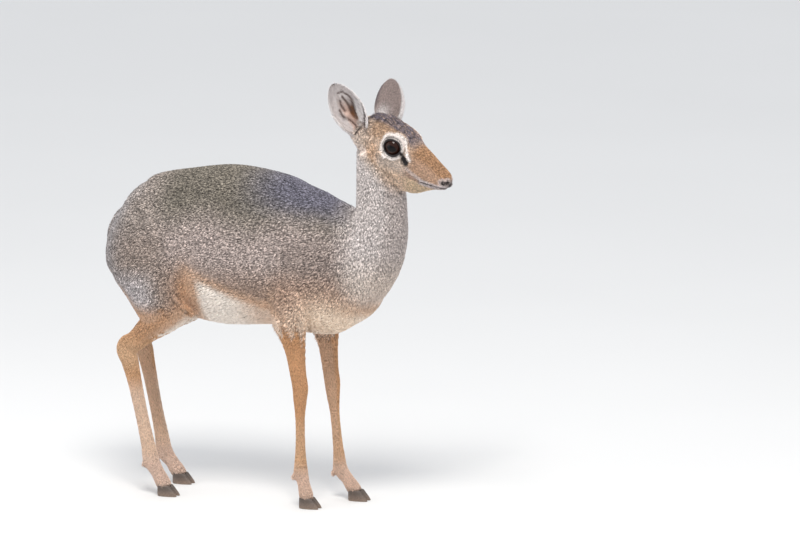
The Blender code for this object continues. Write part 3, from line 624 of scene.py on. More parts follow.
def shape_face(mesh):
    """Moves the surface out or in for brow, cheek, jaw muscle, muzzle, lips, mouth, nostrils and glands.

    A swelling adds height·exp(-Σ(distance / fade)²), a lip a ridge at twice the groove's radius.
    """
    points = to_head(points_of(mesh))
    folded = points * (1, 0, 1) + np.abs(points) * (0, 1, 0)
    out = np.zeros(len(points))
    for middle, fade, height in SWELLINGS:
        out += height * np.exp(-np.sum(((folded - middle) / fade) ** 2, axis=1))
    mouth = away_from(points[:, [0, 2]], MOUTH)
    radius, depth = MOUTH_GROOVE
    ahead = np.clip((points[:, 0] - MOUTH[0][0]) / MOUTH_END + 1, 0, 1)
    out += ahead * LIP_HEIGHT * np.exp(-(((mouth - 2 * radius) / radius) ** 2))
    out -= furrow(mouth, radius, depth)
    out -= furrow(away_from(folded, NOSTRIL), *NOSTRIL_GROOVE)
    out -= furrow(away_from(folded, GLAND), *GLAND_GROOVE)
    set_points(mesh, points_of(mesh) + normals_of(mesh) * out[:, None])


def ear_sheets(side, steps=9, columns=61):
    """Grids of the ear's inner and outer face, in the head's frame, half the wall apart on each side.

    A point of the middle surface is root + axis·length·share + across·w·sin(a) - facing·cup·w·cos(a),
    with a running over the wrap angle and w the half width, both read from the ear's profile. Folds
    thicken the inner side by height·exp(-(distance from the fold's line / fade)²).
    """
    rows = through(EAR_PROFILE, steps)
    turns = np.linspace(-1, 1, columns)
    across, facing, axis = ear_turn(side).T
    angle = rows[:, 2:3] * turns
    share = rows[:, 0:1] * np.ones_like(angle)
    middle = np.array(EAR_ROOT[side]) + share[..., None] * EAR_LENGTH[side] * axis
    middle = middle + (rows[:, 1:2] * np.sin(angle))[..., None] * across
    middle = middle - (EAR_CUP * rows[:, 1:2] * np.cos(angle))[..., None] * facing
    normal = unit(np.cross(np.gradient(middle, axis=1), np.gradient(middle, axis=0)))
    centre = normal[len(rows) // 2, columns // 2]
    inward = np.sign(np.sum(centre * facing)) * normal
    edge = np.minimum(1 - np.abs(turns)[None] * np.ones_like(angle), (1 - share) * 2.2)
    half = EAR_RIM / 2 + (EAR_WALL - EAR_RIM) / 2 * ease(edge, 0.0, 0.25)
    folds = np.zeros_like(share)
    leading = -turns if side == "right" else turns
    place = np.stack([leading * np.ones_like(share), share], -1).reshape(-1, 2)
    for line, fade, height in EAR_FOLDS:
        folds += height * np.exp(-((away_from(place, line) / fade) ** 2)).reshape(share.shape)
    return middle + (half + folds)[..., None] * inward, middle - half[..., None] * inward


def ear_shell(side):
    """The ear's two faces joined round their edges into one closed wall."""
    inner, outer = ear_sheets(side)
    count, columns = inner.shape[:2]
    index = np.arange(count * columns).reshape(count, columns)
    other = index + count * columns
    quads = [
        np.stack([index[:-1, :-1], index[:-1, 1:], index[1:, 1:], index[1:, :-1]], -1).reshape(-1, 4),
        np.stack([other[:-1, :-1], other[1:, :-1], other[1:, 1:], other[:-1, 1:]], -1).reshape(-1, 4),
    ]
    loop = np.concatenate([index[0, :-1], index[:-1, -1], index[-1, :0:-1], index[:0:-1, 0]])
    after = np.roll(loop, -1)
    quads.append(np.stack([after, loop, loop + count * columns, after + count * columns], -1))
    quads = np.vstack(quads)
    faces = np.vstack([quads[:, [0, 1, 2]], quads[:, [0, 2, 3]]])
    points = np.concatenate([inner.reshape(-1, 3), outer.reshape(-1, 3)])
    points, faces = outward(points, faces)
    return from_head(points), faces


def lid_path(sign, reach):
    """The lids' edge on a ball round the eye: an oval pointed at both corners, in the head's frame."""
    turns = np.linspace(0, 2 * np.pi, 72, endpoint=False)
    x = LID_OPENING[0] * np.cos(turns)
    z = LID_OPENING[1] * np.sin(turns) * np.abs(np.sin(turns)) ** 0.15
    y = np.sqrt(np.maximum(reach**2 - x**2 - z**2, 1e-9))
    return eye_place(sign) + np.stack([x, y, z], -1) @ eye_aim(sign).T


def lid_rim(sign):
    """A roll of skin along the lids' edge: a ring of radius LID_ROLL carried round the path."""
    path = lid_path(sign, EYE_RADIUS + 0.55 * LID_THICKNESS)
    along = unit(np.roll(path, -1, axis=0) - np.roll(path, 1, axis=0))
    out = unit(path - eye_place(sign))
    side = np.cross(along, out)
    angle = np.linspace(0, 2 * np.pi, 14, endpoint=False)
    rings = path[:, None] + LID_ROLL * (
        np.cos(angle)[:, None] * out[:, None] + np.sin(angle)[:, None] * side[:, None]
    )
    count, sides = rings.shape[:2]
    index = np.arange(count * sides).reshape(count, sides)
    a, b = index, np.roll(index, -1, axis=1)
    d, c = np.roll(a, -1, axis=0), np.roll(b, -1, axis=0)
    faces = np.vstack([np.stack([a, b, c], -1).reshape(-1, 3), np.stack([a, c, d], -1).reshape(-1, 3)])
    points, faces = outward(rings.reshape(-1, 3), faces)
    return from_head(points), faces


def lid_opening(sign):
    """The oval between the lids, carried straight outwards, as a closed prism."""
    path = lid_path(sign, 0.0)
    flat = path - (path - eye_place(sign)) @ eye_aim(sign)[:, 1:2] * eye_aim(sign)[:, 1]
    rings = [flat + eye_aim(sign)[:, 1] * out for out in LID_DEPTHS]
    points, faces = closed_tube(np.array(rings))
    return from_head(points), faces


def combined(thing, shape, operation):
    """Joins one more closed shape to a mesh, or cuts it away."""
    points, faces = shape
    tool = add_piece("tool", points, faces, smooth=False)
    step = thing.modifiers.new("Join", "BOOLEAN")
    step.operation = operation
    step.object = tool
    step.solver = "MANIFOLD"
    before = len(thing.data.vertices)
    baked(thing)
    if len(thing.data.vertices) in (0, before):
        print("boolean had no effect", operation)
    bpy.data.objects.remove(tool, do_unlink=True)


# Which loft a point of the coat belongs to
PARTS = (
    "trunk", "thigh", "neck", "head", "fore_right", "fore_left", "hind_right", "hind_left",
    "ear_right", "ear_left", "tail",
)
SCALES = {"trunk": 0.022, "thigh": 0.018, "neck": 0.013, "head": 0.006, "ear": 0.0035, "tail": 0.006}
LEG_SCALE = 0.006


def guide(grid, lie, coat, part, scale):
    """Guide points on one loft: place, way the hair lies, coat values, scale of reach and part."""
    count = grid.shape[0] * grid.shape[1]
    lie = unit(np.broadcast_to(lie, grid.shape)).reshape(-1, 3)
    coat = np.broadcast_to(coat, (*grid.shape[:2], 5)).reshape(-1, 5)
    part = np.full(count, PARTS.index(part))
    return grid.reshape(-1, 3), np.hstack([lie, coat]), part, np.full(count, scale)


def between(first, second, share):
    """Coat values part of the way from one row of the table to another."""
    first, second = np.array(COATS[first]), np.array(COATS[second])
    return first + (second - first) * share[..., None]


def coat_guides():
    """Guide points over every loft, ring by ring, that say how the hair lies there and how long it is."""
    rows = []
    grid = sections(TRUNK, 2, 16)
    x, y, z = np.moveaxis(grid, -1, 0)
    side = ease(np.abs(y), 0.01, 0.05)
    rear = ease(x, -0.115, -0.160)
    front = ease(x, 0.115, 0.155)
    low = ease(z, 0.30, 0.22) * ease(np.abs(x), 0.03, 0.08)
    droop = 0.40 * side + 1.6 * rear + 1.6 * front + 1.0 * low * side
    lie = np.stack([-1 + 0.7 * rear + 0.7 * front, 0 * x, -droop], -1)
    rows.append(guide(grid, lie, COATS["trunk"], "trunk", SCALES["trunk"]))
    grid = sections(NECK, 2, 14)
    along = unit(np.gradient(grid.mean(1), axis=0))[:, None]
    rows.append(guide(grid, -along, COATS["neck"], "neck", SCALES["neck"]))
    grid = sections(TAIL, 3, 8)
    along = unit(np.gradient(grid.mean(1), axis=0))[:, None]
    rows.append(guide(grid, along, COATS["tail"], "tail", SCALES["tail"]))
    for sign, side in ((-1, "right"), (1, "left")):
        grid = sections([(x, sign * y, z, *rest) for x, y, z, *rest in THIGH], 2, 12)
        low = ease(grid[..., 2], 0.345, 0.240)
        lie = np.stack([-1 + 0.7 * low, 0 * low, -0.40 - 0.6 * low], -1)
        coat = between("thigh", "leg_top", ease(grid[..., 2], 0.300, 0.235))
        rows.append(guide(grid, lie, coat, "thigh", SCALES["thigh"]))
        legs = (("fore_", FORE_JOINTS, FORE_PROFILE), ("hind_", HIND_JOINTS, HIND_PROFILE))
        for name, joints, profile in legs:
            grid = sections(leg_rows(joints[side], profile), 3, 8)
            along = unit(np.gradient(grid.mean(1), axis=0))[:, None]
            z = grid[..., 2]
            coat = between("leg_top", "leg", ease(z, 0.250, 0.195))
            foot = ease(z, 0.060, 0.030)[..., None]
            coat = coat + (np.array(COATS["foot"]) - coat) * foot
            rows.append(guide(grid, along, coat, name + side, LEG_SCALE))
        across, _, axis = ear_turn(side).T @ HEAD[:3, :3].T
        front, back = ear_sheets(side, 2, 11)
        spread = np.linspace(-1, 1, 11)[None, :, None]
        lie = axis + 0.25 * spread * across
        for sheet in (front, back):
            rows.append(guide(from_head(sheet), lie, COATS["ear"], "ear_" + side, SCALES["ear"]))
    grid = sections(SKULL, 2, 20, JAW_NARROWING)
    x, y, z = np.moveaxis(grid, -1, 0)
    top = ease(z, 0.004, 0.012)
    crest = ease(x, -0.052, -0.044) * ease(x, 0.018, 0.010) * top
    coat = between("head", "muzzle", ease(x, 0.020, 0.050))
    behind = ease(face_side(grid.reshape(-1, 3)), 0.010, -0.006).reshape(x.shape)
    coat = coat + (np.array(COATS["neck"]) - coat) * (0.6 * behind)[..., None]
    coat = coat + (np.array(COATS["crest"]) - coat) * crest[..., None]
    fall = -0.35 * ease(np.abs(y), 0.008, 0.02) * (1 - crest)
    lie = np.stack([-1 + 0 * x, 0.10 * np.sign(y) * ease(np.abs(y), 0.002, 0.02), fall], -1)
    rows.append(guide(from_head(grid), lie @ HEAD[:3, :3].T, coat, "head", SCALES["head"]))
    places, values, parts, scales = [np.concatenate(column) for column in zip(*rows)]
    return places.astype(np.float32), values.astype(np.float32), parts, scales.astype(np.float32)


def coat_at(points, guides):
    """Way of the hair, coat values and part at each point.

    The field's columns are the way the hair lies, three of them, then the coat's inset, rise, length,
    width and density.

    Each guide counts by exp(-4·(q - least q)), where q is its distance over its own scale. The points
    are taken by cells of CELL a side, each with only the guides that can still count there.
    """
    places, values, parts, scales = guides
    points = points.astype(np.float32)
    found = np.empty((len(points), values.shape[1]), np.float32)
    owner = np.empty(len(points), np.int32)
    cells = np.floor(points / CELL).astype(np.int64) + 1000
    keys = cells @ np.array([1, 10000, 100000000])
    order = np.argsort(keys, kind="stable")
    for some in np.split(order, np.flatnonzero(np.diff(keys[order])) + 1):
        here = points[some]
        middle = here.mean(0)
        reach = np.sqrt(((here - middle) ** 2).sum(1).max())
        away = np.sqrt(((places - middle) ** 2).sum(1))
        near = np.flatnonzero((away - reach) / scales < ((away + reach) / scales).min() + 1.2)
        squared = (here**2).sum(1)[:, None] + (places[near] ** 2).sum(1) - 2 * here @ places[near].T
        q = np.sqrt(np.maximum(squared, 0)) / scales[near]
        nearest = q.argmin(1)
        weight = np.exp(4 * (q[np.arange(len(some)), nearest][:, None] - q))
        found[some] = weight @ values[near] / weight.sum(1, keepdims=True)
        owner[some] = parts[near[nearest]]
    return found.astype(float), owner


def fused(name, shapes, voxel, rounds, leg_rounds):
    """One closed surface round the shapes, evened out."""
    thing = add_piece(name, *gathered(shapes), smooth=False)
    step = thing.modifiers.new("Fuse", "REMESH")
    step.mode = "VOXEL"
    step.voxel_size = voxel
    baked(thing)
    evened(thing.data, rounds, leg_rounds)
    return thing


def triangles_of(mesh):
    """A mesh's faces as triangles of point numbers."""
    mesh.calc_loop_triangles()
    faces = np.empty(len(mesh.loop_triangles) * 3, np.int32)
    mesh.loop_triangles.foreach_get("vertices", faces)
    return faces.reshape(-1, 3)


def made_skin(guides):
    """The skin: body and head fused and drawn in by the coat's depth, then face, ears, lids and sockets."""
    body = fused("body_form", body_shapes(), BODY_VOXEL, BODY_ROUNDS, LEG_ROUNDS)
    head = fused("head_form", head_shapes(), HEAD_VOXEL, HEAD_ROUNDS, HEAD_ROUNDS)
    shapes = [(points_of(thing.data), triangles_of(thing.data)) for thing in (body, head)]
    for thing in (body, head):
        bpy.data.objects.remove(thing, do_unlink=True)
    skin = fused("skin", shapes, SKIN_VOXEL, 6, 6)
    points = points_of(skin.data)
    field, _ = coat_at(points, guides)
    set_points(skin.data, points - normals_of(skin.data) * field[:, 3:4])
    shape_face(skin.data)
    group = skin.vertex_groups.new(name="thin")
    group.add(range(len(points)), 1.0, "REPLACE")
    h = to_head(points_of(skin.data))
    face = np.flatnonzero((h[:, 0] > -0.03) & (h[:, 2] < 0.05) & (h[:, 2] > -0.06))
    group.add(face.tolist(), 0.10, "REPLACE")
    step = skin.modifiers.new("Thin", "DECIMATE")
    step.ratio = SKIN_TRIANGLES / (2 * len(points))
    step.vertex_group = group.name
    baked(skin)
    for side, sign in (("right", -1), ("left", 1)):
        combined(skin, ear_shell(side), "UNION")
        combined(skin, lid_opening(sign), "DIFFERENCE")
        socket = ball(eye_place(sign), [EYE_RADIUS + SOCKET_GAP] * 3, 48)
        combined(skin, (from_head(socket[0]), socket[1]), "DIFFERENCE")
        combined(skin, lid_rim(sign), "UNION")
    skin.vertex_groups.clear()
    skin.data.shade_smooth()
    return skin


def mixed(base, colour, amount):
    """The base colours taken towards one colour by an amount at each point."""
    return base + (linear(colour) - base) * np.clip(amount, 0, 1)[:, None]


def near_spot(points, middle, fade):
    """A soft round spot: exp(-Σ(distance / fade)²)."""
    return np.exp(-np.sum(((points - np.array(middle)) / np.array(fade)) ** 2, axis=1))


def eye_distance(folded):
    """Distance in front view from the lids' oval, 1 on it: √((x / length)² + (z / height)²)."""
    local = (folded - eye_place(1)) @ eye_aim(1)
    ahead = local[:, 1] > 0
    oval = np.hypot(local[:, 0] / LID_OPENING[0], local[:, 2] / LID_OPENING[1])
    return np.where(ahead, oval, 9.0), local


def ear_local(head_points, side):
    """Across in half widths, along as a share of its length, and towards its facing, in metres."""
    local = (head_points - np.array(EAR_ROOT[side])) @ ear_turn(side)
    share = local[:, 2] / EAR_LENGTH[side]
    rows = through(EAR_PROFILE, 9)
    wide = np.interp(share, rows[:, 0], rows[:, 1])
    return local[:, 0] / wide, share, local[:, 1]


def body_marks(p, n):
    """Colour and grizzle of trunk, thighs, neck and tail."""
    x, z = p[:, 0], p[:, 2]
    colour = np.tile(linear(FLANK), (len(p), 1))
    colour = mixed(colour, BACK, ease(z + 0.006 * np.sin(60 * x), 0.325, 0.378))
    colour = mixed(colour, RUMP, ease(x, -0.07, -0.12) * ease(z, 0.29, 0.35))
    colour = mixed(colour, FLANK_WARM, 0.9 * ease(z, 0.312, 0.268))
    # Painted bluish sky reflection and shade where the withers face up
    ridge = ease(n[:, 2], 0.15, 0.75) * ease(x, -0.01, 0.07) * ease(z, 0.345, 0.375)
    colour = mixed(colour, WITHERS_SKY_AND_SHADE, 0.85 * ridge)
    colour = mixed(colour, SHOULDER, 0.9 * ease(x, 0.055, 0.085) * ease(z, 0.352, 0.312))
    colour = mixed(colour, SHOULDER_WARM, 0.9 * ease(x, 0.050, 0.075) * ease(z, 0.312, 0.258))
    colour = mixed(colour, HAUNCH, 0.95 * ease(x, -0.065, -0.100) * ease(z, 0.352, 0.312))
    colour = mixed(colour, HAUNCH_LOW, ease(x, -0.085, -0.115) * ease(z, 0.298, 0.262))
    colour = mixed(colour, HAUNCH_REAR, 0.85 * ease(n[:, 0], 0.0, -0.95) * ease(x, -0.09, -0.16))
    shank = ease(x, -0.045, -0.075) * ease(z, 0.252, 0.222)
    colour = mixed(colour, GASKIN, shank)
    front = near_spot(p * (1, 0, 1), (-0.055, 0, 0.256), (0.015, 1, 0.032))
    colour = mixed(colour, THIGH_TAN, 1.1 * front)
    colour = mixed(colour, BELLY_CREAM, ease(n[:, 2], -0.20, -0.55) * ease(z, 0.300, 0.250))
    colour = mixed(colour, BELLY_WHITE, ease(n[:, 2], -0.50, -0.85))
    below = 0.286 - 0.39 * (x + 0.035) - z
    between_legs = ease(x, -0.066, -0.048) * ease(x, 0.1, 0.06)
    colour = mixed(colour, BELLY_CREAM, 0.7 * ease(below, -0.010, 0.005) * between_legs)
    patch = ease(x, -0.045, -0.031) * ease(x, 0.078, 0.058) * ease(below, 0.002, 0.014)
    colour = mixed(colour, BELLY_WHITE, patch)
    colour = mixed(colour, BELLY_CREAM, 0.6 * patch * ease(x, -0.005, 0.045))
    # Painted highlight on the pale fold of the flank just behind the elbow
    elbow_highlight = near_spot(p * (1, 0, 1), (0.058, 0, 0.256), (0.007, 1, 0.018))
    colour = mixed(colour, BELLY_CREAM, 0.5 * elbow_highlight)
    brisket = near_spot(p * (1, 0, 1), (0.122, 0, 0.234), (0.038, 1, 0.028))
    colour = mixed(colour, BRISKET, 1.2 * brisket)
    pale = ease(n[:, 2], -0.1, -0.6) * ease(z, 0.3, 0.26)
    border = ease(below, -0.022, -0.004) * between_legs
    grizzle = 0.85 - 0.65 * pale - 0.4 * front - 0.4 * np.minimum(patch + brisket, 1)
    grizzle = grizzle - 0.35 * np.maximum(border, shank)
    neck = ease(x + 0.15 * (z - 0.30), 0.130, 0.170) * ease(z, 0.248, 0.285)
    colour = mixed(colour, NECK_GREY, neck)
    # Painted shade on the front of the neck, where it faces forward
    throat = neck * ease(n[:, 0], 0.3, 0.8)
    colour = mixed(colour, NECK_FRONT_SHADE, 0.7 * throat)
    colour = mixed(colour, BRISKET, 0.4 * neck * ease(z, 0.335, 0.275))
    return colour, np.clip(grizzle - 0.25 * neck, 0, 1)


def leg_marks(p, n, hind):
    """Colour and grizzle of the legs."""
    y, z = p[:, 1], p[:, 2]
    colour = np.tile(linear(LEG_TAN), (len(p), 1))
    colour = mixed(colour, GASKIN, ease(z, 0.185, 0.225) * hind)
    colour = mixed(colour, HOCK, hind * near_spot(p * (0, 0, 1), (0, 0, 0.175), (1, 1, 0.022)))
    colour = mixed(colour, CANNON_PALE, hind * ease(z, 0.155, 0.125))
    colour = mixed(colour, CANNON_TAN, (1 - hind) * ease(z, 0.125, 0.095))
    colour = mixed(colour, PASTERN, 0.8 * ease(z, 0.062, 0.040))
    colour = mixed(colour, SHOULDER_WARM, (1 - hind) * ease(z, 0.215, 0.250))
    inner = ease(np.sign(y) * n[:, 1], -0.2, -0.8) * ease(z, 0.03, 0.09)
    colour = mixed(colour, BELLY_CREAM, 0.8 * inner)
    colour = mixed(colour, SKIN_BLACK, 0.45 * ease(z, 0.020, 0.012))
    return colour, 0.12 + 0.4 * ease(z, 0.19, 0.25)


def head_marks(h, n):
    """Colour, grizzle and bareness of the head, in its own frame."""
    folded = np.abs(h) * (0, 1, 0) + h * (1, 0, 1)
    x, y, z = folded.T
    up = n[:, 2]
    colour = np.tile(linear(CHEEK), (len(h), 1))
    colour = mixed(colour, JAW_TAN, ease(z, -0.018, -0.032) * ease(x, -0.022, 0.004))
    # Painted shade under the head, where it faces down
    colour = mixed(colour, NECK_FRONT_SHADE, 0.25 * ease(up, -0.3, -0.8))
    colour = mixed(colour, TEMPLE, near_spot(folded, (-0.014, 0.022, 0.012), (0.012, 0.012, 0.010)))
    colour = mixed(colour, TEMPLE, 0.85 * near_spot(folded, (-0.028, 0.022, -0.012), (0.012, 0.014, 0.013)))
    side = ease(x, 0.014, 0.034)
    colour = mixed(colour, MUZZLE_SIDE, side * ease(z, -0.026, -0.016))
    colour = mixed(colour, MUZZLE_LOW, side * ease(z, -0.018, -0.022) * ease(z, -0.034, -0.026))
    bridge = side * ease(up, 0.15, 0.65)
    colour = mixed(colour, RUFOUS, bridge)
    colour = mixed(colour, CHIN, ease(x, 0.020, 0.034) * ease(z, -0.0250, -0.0275))
    brow = ease(up, 0.05, 0.45) * ease(x, 0.030, 0.0) * ease(x, -0.045, -0.030)
    colour = mixed(colour, BROW, 0.9 * brow)
    colour = mixed(colour, RUFOUS, 0.5 * brow * ease(x, -0.01, 0.01))
    crown = ease(up, 0.45, 0.80) * ease(y, 0.0150, 0.0095) * ease(x, 0.030, 0.012)
    colour = mixed(colour, CROWN_GREY, crown * ease(x, -0.056, -0.046))
    oval, local = eye_distance(folded)
    ring = ease(oval, 1.46, 1.30)
    streak = away_from(folded[:, [0, 2]], EYE_STREAK)
    streak = ease(streak, 0.0028, 0.0012) * ease(y, 0.008, 0.012)
    colour = mixed(colour, RING_WHITE, np.maximum(0.90 * ring, 0.95 * streak))
    mouth = away_from(h[:, [0, 2]], MOUTH)
    ahead = ease(x, MOUTH[0][0] - 0.003, MOUTH[0][0] + 0.002)
    lip = ahead * ease(mouth, 0.0045, 0.0022)
    colour = mixed(colour, LIP_PALE, 0.75 * lip)
    pale = away_from(h[:, [0, 2]], ((0.046, -0.021), (0.036, -0.0185), (0.027, -0.0150)))
    colour = mixed(colour, LIP_PALE, 0.45 * ease(pale, 0.0040, 0.0010))
    line = ahead * ease(mouth, 0.0016, 0.0007)
    tip = ease(x, 0.0705, 0.0765)
    nostril = away_from(folded, NOSTRIL)
    colour = mixed(colour, LIP_PALE, 0.6 * ease(nostril, 0.0058, 0.0035))
    pad = tip * near_spot(h, (0.080, 0, -0.0120), (0.007, 0.0045, 0.0050))
    nose = np.maximum(ease(nostril, 0.0030, 0.0020), 1.1 * pad)
    gland = ease(away_from(folded, GLAND), 0.0054, 0.0036)
    corner = near_spot(local, (0.0125, 0.012, -0.0015), (0.0056, 0.03, 0.0028))
    lids = ease(oval, 1.20, 1.10)
    dark = np.clip(np.maximum.reduce([line, nose, gland, 1.2 * corner, lids]), 0, 1)
    colour = mixed(colour, SKIN_BLACK, dark)
    bare = np.clip(np.maximum.reduce([line, nose, 0.9 * gland, lids]), 0, 1)
    grizzle = 0.62 + 0.38 * crown + 0.20 * bridge
    return colour, grizzle * (1 - dark) * (1 - 0.8 * ring), bare


def ear_marks(h, n, side):
    """Colour, grizzle and bareness of an ear, in the head's frame."""
    across, share, _ = ear_local(h, side)
    turned = n @ ear_turn(side)
    inside = ease(turned[:, 1], -0.10, 0.25) * ease(share, 0.04, 0.10)
    leading = -across if side == "right" else across
    colour = np.tile(linear(EAR_BACK), (len(h), 1))
    edge = ease(np.abs(across), 0.86, 0.97)
    outer = -leading if side == "left" else leading
    margin = ease(share, 0.30, 0.65) * (1 - edge) * ease(outer, 0.35, 0.85)
    colour = mixed(colour, EAR_DARK, 0.75 * margin)
    # Painted light: a pale spot that lightens the left ear's margin where it lies in shade
    if side == "left":
        colour = mixed(colour, EAR_EDGE, 0.7 * near_spot(h, (-0.060, 0.027, 0.006), 0.009))
    lining = np.tile(linear(EAR_PALE), (len(h), 1))
    deep = ease(np.abs(across - 0.05), 0.42, 0.15) * ease(share, 0.75, 0.45)
    lining = mixed(lining, EAR_SKIN, 0.8 * deep)
    rust = np.exp(-(((leading - 0.33) / 0.25) ** 2 + ((share - 0.37) / 0.12) ** 2))
    lining = mixed(lining, EAR_RUST, 2.0 * rust)
    fringe = ease(leading, 0.40, 0.52) * ease(share, 0.60, 0.45)
    lining = mixed(lining, EAR_EDGE, fringe)
    place = np.stack([leading, 4.5 * share], -1)
    # Painted shade in the creases between the folds
    for line in EAR_CREASE_SHADE_LINES:
        away = away_from(place, np.array(line) * (1, 4.5))
        lining = mixed(lining, EAR_CREASE_SHADE, 0.95 * np.exp(-((away / 0.085) ** 2)))
    colour = colour + (lining - colour) * inside[:, None]
    rim = ease(np.abs(across), 0.90, 0.99) * ease(share, 0.08, 0.2)
    colour = mixed(colour, EAR_EDGE, 0.8 * rim)
    root = ease(share, 0.16, -0.02)
    colour = mixed(colour, EAR_FOOT_PALE, root * (1 - inside))
    bare = inside * (1 - 0.75 * rim) * ease(np.abs(across), 0.98, 0.80) * (1 - 0.9 * fringe)
    return colour, 0.35 * (1 - inside), 0.88 * bare


def face_side(h):
    """Distance in front of the line where cheek and throat meet the neck, in the head's frame."""
    return np.minimum(0.434 * h[:, 0] + 0.901 * h[:, 2] + 0.037, h[:, 0] + 0.056)


def markings(points, normals, owner):
    """Colour, grizzle and bareness anywhere on skin or coat, from place, slope and part alone."""
    colour, grizzle = body_marks(points, normals)
    bare = np.zeros(len(points))
    name = np.array(PARTS)[owner]
    for hind, word in ((0.0, "fore_"), (1.0, "hind_")):
        some = np.char.startswith(name, word)
        limb, grain = leg_marks(points[some], normals[some], hind)
        share = ease(points[some, 2], 0.262, 0.215)
        colour[some] += (limb - colour[some]) * share[:, None]
        grizzle[some] += (grain - grizzle[some]) * share
    h = to_head(points)
    turned = normals @ HEAD[:3, :3]
    some = (name == "head") | (name == "neck") | np.char.startswith(name, "ear_")
    face, grain, naked = head_marks(h[some], turned[some])
    share = ease(face_side(h[some]), -0.014, 0.006)
    colour[some] += (face - colour[some]) * share[:, None]
    grizzle[some] += (grain - grizzle[some]) * share
    bare[some] = naked * share
    for side in ("right", "left"):
        some = name == "ear_" + side
        ear, grain, naked = ear_marks(h[some], turned[some], side)
        share = ease(ear_local(h[some], side)[1], 0.00, 0.10)
        colour[some] += (ear - colour[some]) * share[:, None]
        grizzle[some] += (grain - grizzle[some]) * share
        bare[some] += (naked - bare[some]) * share
    some = (name == "head") | (name == "neck") | np.char.startswith(name, "ear_")
    for side in ("right", "left"):
        foot = ease(away_from(h[some], EAR_FOOT[side]), 0.0080, 0.0045)
        colour[some] = mixed(colour[some], EAR_FOOT_PALE, 0.92 * foot)
        grizzle[some] *= 1 - 0.8 * foot
        # Painted shade: the hollow of the ear's opening drawn as a black spot
        opening = near_spot(h[some], EAR_OPENING_SHADE[side], (0.0026, 0.0060, 0.0046))
        colour[some] = mixed(colour[some], SKIN_BLACK, 1.3 * opening)
    some = name == "tail"
    colour[some] = mixed(colour[some], HAUNCH_REAR, 0.8 * ease(normals[some, 0], 0.2, -0.4))
    colour[some] = mixed(colour[some], BELLY_WHITE, 0.8 * ease(normals[some, 0], 0.3, 0.8))
    return colour, grizzle, bare


def paint(mesh, colour, grizzle, **numbers):
    """Writes colour with grizzle in its alpha as the attribute tint, and any further numbers by name."""
    tint = mesh.attributes.new("tint", "FLOAT_COLOR", "POINT")
    tint.data.foreach_set("color", np.column_stack([colour, grizzle]).astype(np.float32).ravel())
    for name, values in numbers.items():
        mesh.attributes.new(name, "FLOAT", "POINT").data.foreach_set("value", values.astype(np.float32))


def sown(points, faces, fields, chance, draw):
    """Roots spread over the triangles, one at each whole step of the summed area times chance.

    Gives the place and the fields at each root, and the number of a point beside it.
    """
    a, b, c = points[faces[:, 0]], points[faces[:, 1]], points[faces[:, 2]]
    area = 0.5e6 * np.linalg.norm(np.cross(b - a, c - a), axis=1)
    wanted = np.cumsum(area * chance[faces].mean(1))
    marks = np.arange(int(wanted[-1])) + draw.random()
    face = np.searchsorted(wanted, marks).clip(0, len(faces) - 1)
    s, t = draw.random((2, len(face)))
    over = s + t > 1
    s, t = np.where(over, 1 - s, s), np.where(over, 1 - t, t)
    share = np.stack([1 - s - t, s, t], -1)
    corner = faces[face]
    return [np.einsum("ij,ij...->i...", share, field[corner]) for field in (points, *fields)], corner[:, 0]


def bend_along(mesh, points, normals, lie):
    """How sharply the skin curves along the hair: Σ(Δnormal·lie)(Δplace·lie) / Σ(Δplace·lie)².

    The sums run over the edges at a point, and the result is evened out over its neighbours.
    """
    edges = np.empty(len(mesh.edges) * 2, np.int32)
    mesh.edges.foreach_get("vertices", edges)
    a, b = edges.reshape(-1, 2).T
    total, square = np.zeros(len(points)), np.full(len(points), 1e-9)
    for near, far in ((a, b), (b, a)):
        step = np.sum((points[far] - points[near]) * lie[near], -1)
        turn = np.sum((normals[far] - normals[near]) * lie[near], -1)
        total += np.bincount(near, turn * step, len(points))
        square += np.bincount(near, step * step, len(points))
    count = np.bincount(np.concatenate([a, b]), minlength=len(points))
    bend = np.clip(total / square, -40, 130)
    for _ in range(3):
        mean = np.bincount(a, bend[b], len(points)) + np.bincount(b, bend[a], len(points))
        bend = 0.5 * bend + 0.5 * mean / count
    return bend


def tufts(root, normal, lie, coat, bend, draw):
    """Closed spindles of five points: root, left, right and ridge part of the way along, and tip.

    At a share s of the length a point stands at place + lie·s·length + normal·(h - bend·(s·length)²/2),
    with h 0.8 of the rise half way and all of it at the tip, so that the hair follows the skin's curve.
    """
    count = len(root)
    normal = unit(normal)
    lie = unit(lie - normal * np.sum(lie * normal, -1, keepdims=True))
    side = np.cross(normal, lie)
    stray = draw.normal(0, TUFT_SPREAD, (count, 1))
    lie = unit(lie * np.cos(stray) + side * np.sin(stray))
    side = np.cross(normal, lie)
    rise, length, width = (coat[:, i : i + 1] for i in (1, 2, 3))
    length = length * draw.uniform(0.75, 1.25, (count, 1))
    width = width * draw.uniform(0.75, 1.25, (count, 1))
    height = rise * draw.uniform(0.70, 1.12, (count, 1))
    drop = np.clip(0.5 * bend[:, None] * length**2, -0.001, 0.45 * length)
    middle = root + lie * 0.45 * length + normal * (0.8 * height - 0.2 * drop)
    points = np.stack([
        root - normal * TUFT_SINK,
        middle + side * width / 2 - normal * 0.12 * width,
        middle - side * width / 2 - normal * 0.12 * width,
        middle + normal * 0.30 * width,
        root + lie * length + normal * (height - drop),
    ], 1)
    return points


TUFT_FACES = np.array([[0, 2, 3], [0, 3, 1], [0, 1, 2], [4, 3, 2], [4, 1, 3], [4, 2, 1]])
TUFT_ALONG = np.array([0.0, 0.45, 0.45, 0.45, 1.0])
TUFT_PATCH = np.array([[0.5, 0.0], [0.0, 0.45], [1.0, 0.45], [0.5, 0.6], [0.5, 1.0]])


